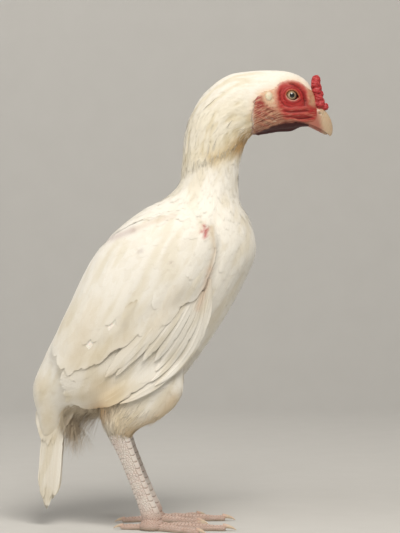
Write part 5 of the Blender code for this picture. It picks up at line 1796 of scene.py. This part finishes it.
def makeEye(side):
    # an eyeball with its cornea, and the measures that its iris is painted by
    hit, facing, forward, up = headAxes(eye["at"], side)
    centre = hit - facing * eye["sunk"]
    bpy.ops.object.select_all(action="DESELECT")
    bpy.ops.mesh.primitive_uv_sphere_add(segments=64, ring_count=40, radius=eye["radius"] * mm,
                                         location=centre * mm,
                                         rotation=facing.to_track_quat("Z", "Y").to_euler())
    ball = bpy.context.object
    ball.name = ball.data.name = f"eyeball{sideName[side]}"
    bpy.ops.object.transform_apply(location=True, rotation=True, scale=True)
    bpy.ops.object.shade_smooth()
    places, outward = pointsOf(ball)
    away = places - np.array(centre)
    depth = away @ np.array(facing)
    radial = np.sqrt(np.maximum((away ** 2).sum(1) - depth ** 2, 0))
    height, size = eye["bulge"]
    bulge = height * np.clip(1 - (radial / size) ** 2, 0, 1) * (depth > 0)
    movePoints(ball, places + outward * bulge[:, None])
    setAttributes(ball, {"radial": np.where(depth > 0, radial, 9),
                         "shade": away @ (np.array(forward) + 0.45 * np.array(up))})
    dress(ball, finishes["eye"], "eye", "eye_" + ("left" if side > 0 else "right"))
    return centre, facing, forward, up


def lidHeight(n, height, level, off):
    # height of a lid's fold over the eye's centre, never under the eyeball that it covers
    globe = math.sqrt(max(eye["radius"] ** 2 - off ** 2, 0.0))
    if n <= 1:
        return min(level, globe + 0.1) - (1.2, 0.2)[n]
    if n <= 4:
        return max(level + height, globe + 0.25 + 0.25 * (n - 2))
    return max(level + height, globe + 0.5) if off < 6.4 else level + height


def makeLids(side, centre, facing, forward, up):
    # lids as one ring of folds round the opening, that sinks into the skin further out
    sides, folds = lidShape["sides"], lidShape["folds"]
    angle = 2 * math.pi * np.arange(sides) / sides
    c, s = np.cos(angle), np.sin(angle)
    a, b = lidShape["opening"]
    # an almond with its corner to the front
    fromFront = angle - 2 * math.pi * (angle > math.pi)
    x = lidShape["ahead"] + a * c + lidShape["corner"] * np.exp(-fromFront ** 2 / 0.10)
    z = b * np.sign(s) * np.abs(s) ** 1.08 * (1 + 0.06 * s)
    turn = math.radians(lidShape["turn"])
    edge = np.stack([x * math.cos(turn) - z * math.sin(turn),
                     x * math.sin(turn) + z * math.cos(turn)], 1)
    out = unit(edge)
    points = []
    for n, (far, height) in enumerate(folds):
        spread = lidShape["onEye"][n] if n < 2 else far * (
            1 + 0.10 * np.sin(angle * 3 + n))[:, None]
        for p in edge + out * spread:
            at = centre + forward * p[0] + up * p[1]
            base = bed.ray_cast(at + facing * 25, -facing)[0] or at
            level = (base - centre).dot(facing)
            points.append(tuple(at + facing * lidHeight(n, height, level, math.hypot(*p))))
    # the under side closes the ring
    points, count = np.array(points), len(folds)
    under = points.reshape(count, sides, 3)[[count - 1, 0]] - np.array(facing) * lidShape["thick"]
    points = np.concatenate([points, *under])
    ring = np.arange(sides)
    follow = (ring + 1) % sides
    last, lowOut, lowIn = (count - 1) * sides, count * sides, (count + 1) * sides
    faces = [gridFaces(count, sides)]
    for first, second in ((last, lowOut), (lowOut, lowIn), (lowIn, 0)):
        faces.append(np.stack([first + ring, second + ring, second + follow, first + follow], 1))
    piece = makePiece(f"eyelids{sideName[side]}", points, np.concatenate(faces)[:, ::side])
    places, outward = pointsOf(piece)
    # how far each point lies out from the lid's edge
    level = np.concatenate([np.repeat([far for far, _ in folds], sides), np.full(2 * sides, 3.0)])
    level[:2 * sides] = 0
    rough = 0.12 * noiseAt(places, 1.3, 11) + 0.07 * noiseAt(places, 0.6, 12)
    movePoints(piece, places + outward * (rough * smooth((level - 0.3) / 0.6))[:, None])
    rim = 1 - smooth((level - 0.9) / 1.0)
    colour = np.tile(np.array(skinLooks["red"]), (len(places), 1))
    # the lower rim is paler, a painted highlight
    above, below = np.array(lidShape["edge"]), np.array(lidShape["lowLidHighlight"])
    edgeLook = above + (below - above) * smooth(-np.tile(s, count + 2) * 1.6)[:, None]
    colour += (edgeLook - colour) * rim[:, None]
    # painted shade on the margins that lie on the eyeball
    colour = np.where((level <= 0)[:, None], np.array(lidShape["lidGapShade"]), colour)
    setAttributes(piece, {"hollow": hollowness(piece), "bare": np.ones(len(places))},
                  {"tint": colour})
    dress(piece, finishes["skin"], "face_skin")


lobeShape = {"at": (90.4, 451.6), "half": (4.3, 2.2, 5.4), "sunk": 0.8}


def makeLobe(side):
    # a flattened ball on the skin behind the face
    hit, facing, forward, up = headAxes(lobeShape["at"], side)
    bpy.ops.object.select_all(action="DESELECT")
    bpy.ops.mesh.primitive_ico_sphere_add(subdivisions=5, radius=1)
    lobe = bpy.context.object
    lobe.name = lobe.data.name = f"earLobe{sideName[side]}"
    bpy.ops.object.shade_smooth()
    ball = pointsOf(lobe)[0] * mm
    spots = np.array(hit - facing * lobeShape["sunk"])
    for k, (half, way) in enumerate(zip(lobeShape["half"], (forward, facing, up))):
        spots = spots + np.outer(ball[:, k] * half, way)
    movePoints(lobe, spots)
    faceOut(lobe)
    spots, outward = pointsOf(lobe)
    rough = 0.22 * noiseAt(spots, 3.0, 14) + 0.10 * noiseAt(spots, 1.1, 15)
    movePoints(lobe, spots + outward * rough[:, None])
    setAttributes(lobe, {"rim": smooth((0.94 - ball[:, 1]) / 0.6)})
    dress(lobe, finishes["lobe"], "lobe_skin", "lobe_" + ("left" if side > 0 else "right"))


for side in sideName:
    makeLids(side, *makeEye(side))
    makeLobe(side)
print("eyes, lids and lobes made")


def makeStrands(name, roots, ways, ups, lengths, girths, tints, bake, random, droop):
    # thin flat tufts, each closed and tapered to its tip
    count = len(roots)
    shares = np.array([0, 0.25, 0.5, 0.75, 0.92])
    girth = np.array([0.75, 1.0, 0.85, 0.5, 0.22])
    asides = unit(np.cross(ways, ups))
    bends = asides * random.normal(0, 0.16, (count, 1)) + np.array([0, 0, -droop])
    bends = bends - ups * 0.12
    points, vane, share = [], [], []
    for s, g in zip(shares, girth):
        middle = roots + ways * (lengths * s)[:, None] + bends * (lengths * s * s)[:, None]
        for a, b in ((-1, 0), (1, 0), (0, 0.5)):
            points.append(middle + asides * (girths * g * a)[:, None]
                          + ups * (girths * g * b)[:, None])
            vane.append(np.stack([0.5 + 0.01 * girths * g * a, lengths * s * 0.01], 1))
            share.append(np.full(count, s))
    points.append(roots + ways * lengths[:, None] + bends * lengths[:, None])
    vane.append(np.stack([np.full(count, 0.5), lengths * 0.01], 1))
    share.append(np.ones(count))
    points = np.stack(points, 1)
    rows, each = len(shares), points.shape[1]
    faces = [(0, 1, 2)]
    for i in range(rows - 1):
        for j in range(3):
            k = (j + 1) % 3
            faces.append((3 * i + j, 3 * i + 3 + j, 3 * i + 3 + k, 3 * i + k))
    faces += [(3 * rows - 3 + j, each - 1, 3 * rows - 3 + (j + 1) % 3) for j in range(3)]
    every = [tuple(v + n * each for v in face) for n in range(count) for face in faces]
    share = np.stack(share, 1)
    patch = (bake[:, None] + np.stack([np.zeros_like(share), (share - 0.5) * 0.003], 2)
             + (np.stack(vane, 1) - 0.5) * (0.1, 0))
    tone = np.repeat(random.uniform(0, 1, count), each)
    piece = makePiece(name, points.reshape(-1, 3), every,
                      {"Vane": np.stack(vane, 1).reshape(-1, 2),
                       "OFBake": patch.reshape(-1, 2)},
                      {"share": share.ravel(), "tone": tone},
                      {"tint": np.repeat(tints, each, axis=0)})
    print(name, count, "tufts", count * 28, "triangles")
    return dress(piece, finishes["coat"], "plumage")


def standOff(roots, ways, lift, vary, stray, random):
    # stand strands off the bed by so many degrees: their ways, the ways they face, its normals
    ups = np.array([tuple(bed.find_nearest(Vector(p))[1]) for p in roots])
    tilt = np.radians(lift * random.uniform(*vary, len(roots)))[:, None]
    lean = ways * np.cos(tilt) + ups * np.sin(tilt) + random.normal(0, stray, ways.shape)
    return unit(lean), ups * np.cos(tilt) - ways * np.sin(tilt), ups


tuftShape = {
    # where on the body: first and last station, first and last angle from the back in degrees,
    # count, length, half width, lift of the tufts from the skin in degrees, tint
    "ventFluff": (1.0, 3.8, 115, 245, 2600, (8, 16), 0.34, 36, (0.90, 0.79, 0.62)),
    # the vent's long plumes are tinted brown-grey as painted shade, for they hang in shadow
    "ventPlumes": (1.3, 2.6, 148, 212, 620, (18, 40), 0.34, 60, (0.66, 0.54, 0.40)),
    "bellyFluff": (3.0, 5.4, 135, 225, 1300, (6, 11), 0.30, 12, (1.0, 0.97, 0.92)),
}


def makeTufts(random):
    # loose down round the vent and on the belly
    for name, (first, last, low, high, count, size, girth, lift, tint) in tuftShape.items():
        t = random.uniform(first, last, count)
        angle = np.radians(random.uniform(low, high, count))
        roots = bodySurface(t, angle)
        lean, stand, ups = standOff(roots, unit(lieOf(t, angle, roots)), lift, (0.5, 1.3), 0.12,
                                    random)
        tints = np.array(tint) * random.uniform(0.92, 1.05, (count, 1))
        makeStrands(name, roots - ups * 0.6, lean, stand, random.uniform(*size, count),
                    girth * random.uniform(0.6, 1.1, count), np.minimum(tints, 1),
                    unwrapPlace(t, angle), random, 0.25)


def hemTufts(random):
    # wisps at the lower end and the front of each thigh
    for side, shift in thighFeathers["shift"].items():
        count = 1500
        t = 6 - 3.6 * random.uniform(0, 1, count) ** 1.7
        angle = np.radians(random.uniform(0, 360, count))
        roots = thighPoints(t, angle, 0.6)
        ways = unit(thighPoints(t + 0.1, angle, 0.6) - roots) * (1, side, 1)
        roots = roots * (1, side, 1)
        lean, stand, ups = standOff(roots, ways, 10, (0.4, 1.4), 0.06, random)
        bake = np.stack([angle / (2 * math.pi) * 0.08 + shift, t / 6 * 0.9 + 0.03], 1)
        makeStrands(f"thighWisps{sideName[side]}", roots - ups * 0.5, lean, stand,
                    random.uniform(7, 13, count), random.uniform(0.18, 0.42, count),
                    coatTints(roots), bake, random, 0.1)


def neckWisps(random):
    # loose ends of the neck's feathers, over its fold
    t = random.uniform(10, 15, 30000)
    angle = random.uniform(0, 2 * math.pi, 30000)
    roots = bodySurface(t, angle)
    over = overLine(roots[:, [0, 2]], neckFold["line"])
    chance = np.exp(-((over - 10) / 9) ** 2) * 0.14 + 0.02
    pick = (over > -3) & (random.uniform(0, 1, len(t)) < chance) & (bareness(roots) < 0.02)
    t, angle, roots = t[pick], angle[pick], roots[pick]
    lean, stand, ups = standOff(roots, unit(lieOf(t, angle, roots)), 4, (0.0, 1.8), 0.07, random)
    makeStrands("neckWisps", roots - ups * 0.3, lean, stand,
                random.uniform(8, 16, len(t)), random.uniform(0.20, 0.45, len(t)),
                coatTints(roots) ** 0.5, unwrapPlace(t, angle), random, 0.03)


def faceBristles(random):
    # hair-like feathers on the bare skin, thick at its border and thin further in
    t = random.uniform(15.3, 21.6, 60000)
    angle = random.uniform(0, 2 * math.pi, 60000)
    roots = bodySurface(t, angle)
    flat = roots[:, [0, 2]]
    border = lineDistance(flat, face["bare"], True)
    streaky = inside(flat, face["streaky"], 5) + 0.8 * inside(flat, face["pale"], 4)
    chance = (0.95 * np.exp(-(border / 2.0) ** 2) + 0.04 * streaky) * (
        1 - inside(flat, face["throat"], 3)) * smooth((flat[:, 1] - 412) / 6)
    clear = np.hypot(*(flat - eye["at"]).T) >= np.where(flat[:, 1] > 452, 18, 11)
    clear &= np.hypot(*(flat - lobeShape["at"]).T) >= 6.5
    clear &= (flat[:, 0] < 138) & (np.abs(roots[:, 1]) > 4) & (bareness(roots) > 0.03)
    pick = (random.uniform(0, 1, len(t)) < chance) & clear
    t, angle, roots = t[pick], angle[pick], roots[pick]
    ways = lieOf(t, angle, roots)
    ways[:, 2] -= 0.35 * np.linalg.norm(ways, axis=1)
    lean, stand, ups = standOff(roots, unit(ways), 8, (0.4, 1.5), 0.06, random)
    tints = np.array((1.0, 0.94, 0.87)) * random.uniform(0.9, 1.05, (len(t), 1))
    makeStrands("faceBristles", roots - ups * 0.3, lean, stand,
                random.uniform(2.2, 4.0, len(t)), random.uniform(0.06, 0.11, len(t)),
                np.minimum(tints, 1), unwrapPlace(t, angle), random, 0.04)


tuftRandom = np.random.default_rng(31)
for makeSome in (makeTufts, hemTufts, faceBristles, neckWisps):
    makeSome(tuftRandom)
print("tufts made")

# the camera's aim, its distance, its height in degrees, and the width that it sees there
view = {"target": (0.0189, 0.0, 0.2735), "distance": 3.0, "elevation": 2.0, "frame": 0.5597}
stage = {
    # the floor's size, where its middle lies, height of the wall, radius of the sweep
    "floor": 6, "middle": -1.6, "wall": 3, "sweep": 1.1,
    "sky": (1.0, 0.97, 0.92, 1), "skyStrength": 0.35,
    # place, aim, size, watts, colour
    "lights": [((0.35, -1.40, 2.05), (0.0, 0, 0.3), 1.1, 45, (1.0, 0.955, 0.88)),
               ((-1.6, -1.2, 0.9), (0.0, 0, 0.25), 1.4, 12, (1.0, 0.97, 0.92)),
               ((-0.4, 1.4, 1.6), (0.0, 0, 0.3), 1.2, 14, (1.0, 0.98, 0.95))],
}


def setSweep():
    # a pale floor that sweeps up into a wall
    bpy.ops.object.select_all(action="DESELECT")
    bpy.ops.mesh.primitive_plane_add(size=stage["floor"], location=(0, stage["middle"], 0))
    sweep = bpy.context.object
    sweep.name = "paleSweep"
    bpy.ops.object.transform_apply(location=True, rotation=True, scale=True)
    bpy.ops.object.mode_set(mode="EDIT")
    bpy.ops.mesh.select_all(action="DESELECT")

    def selectRear():
        # the floor's rear edge, where the wall begins
        for edge in bmesh.from_edit_mesh(sweep.data).edges:
            edge.select_set(all(v.co.y > 1 and v.co.z < 0.01 for v in edge.verts))
        bmesh.update_edit_mesh(sweep.data)

    selectRear()
    bpy.ops.mesh.extrude_region_move(TRANSFORM_OT_translate={"value": (0, 0, stage["wall"])})
    selectRear()
    bpy.ops.mesh.bevel(offset=stage["sweep"], segments=24, affect="EDGES")
    bpy.ops.object.mode_set(mode="OBJECT")
    bpy.ops.object.shade_smooth()
    made = Finish("paleSweep", {"Roughness": 0.85})
    sweep.data.materials.append(made.plug(
        colour=made.mix(made.noise(40.0, 3), (0.50, 0.49, 0.47), (0.53, 0.52, 0.50))))


def setLights():
    # a dim warm sky and soft lamps
    world = bpy.context.scene.world or bpy.data.worlds.new("studio")
    bpy.context.scene.world = world
    world.use_nodes = True
    sky = world.node_tree.nodes["Background"]
    sky.inputs["Color"].default_value = stage["sky"]
    sky.inputs["Strength"].default_value = stage["skyStrength"]
    for n, (place, aim, size, power, colour) in enumerate(stage["lights"]):
        bpy.ops.object.light_add(type="AREA", location=place)
        lamp = bpy.context.object
        lamp.name = f"softLight{n}"
        lamp.data.size, lamp.data.energy, lamp.data.color = size, power, colour
        lamp.rotation_euler = (Vector(aim) - Vector(place)).to_track_quat(
            "-Z", "Y").to_euler()


def setCamera():
    # the photograph's view, square to the hen's side
    bpy.ops.object.camera_add()
    camera = bpy.context.object
    tilt = math.radians(view["elevation"])
    back = Vector((0, -math.cos(tilt), math.sin(tilt)))
    camera.location = Vector(view["target"]) + back * view["distance"]
    camera.rotation_euler = (-back).to_track_quat("-Z", "Y").to_euler()
    half = math.atan(view["frame"] / 2 / view["distance"])
    camera.data.lens = camera.data.sensor_width / 2 / math.tan(half)
    bpy.context.scene.camera = camera


setSweep()
setLights()
setCamera()
bpy.context.scene.view_settings.view_transform = "Standard"
print("stage set")
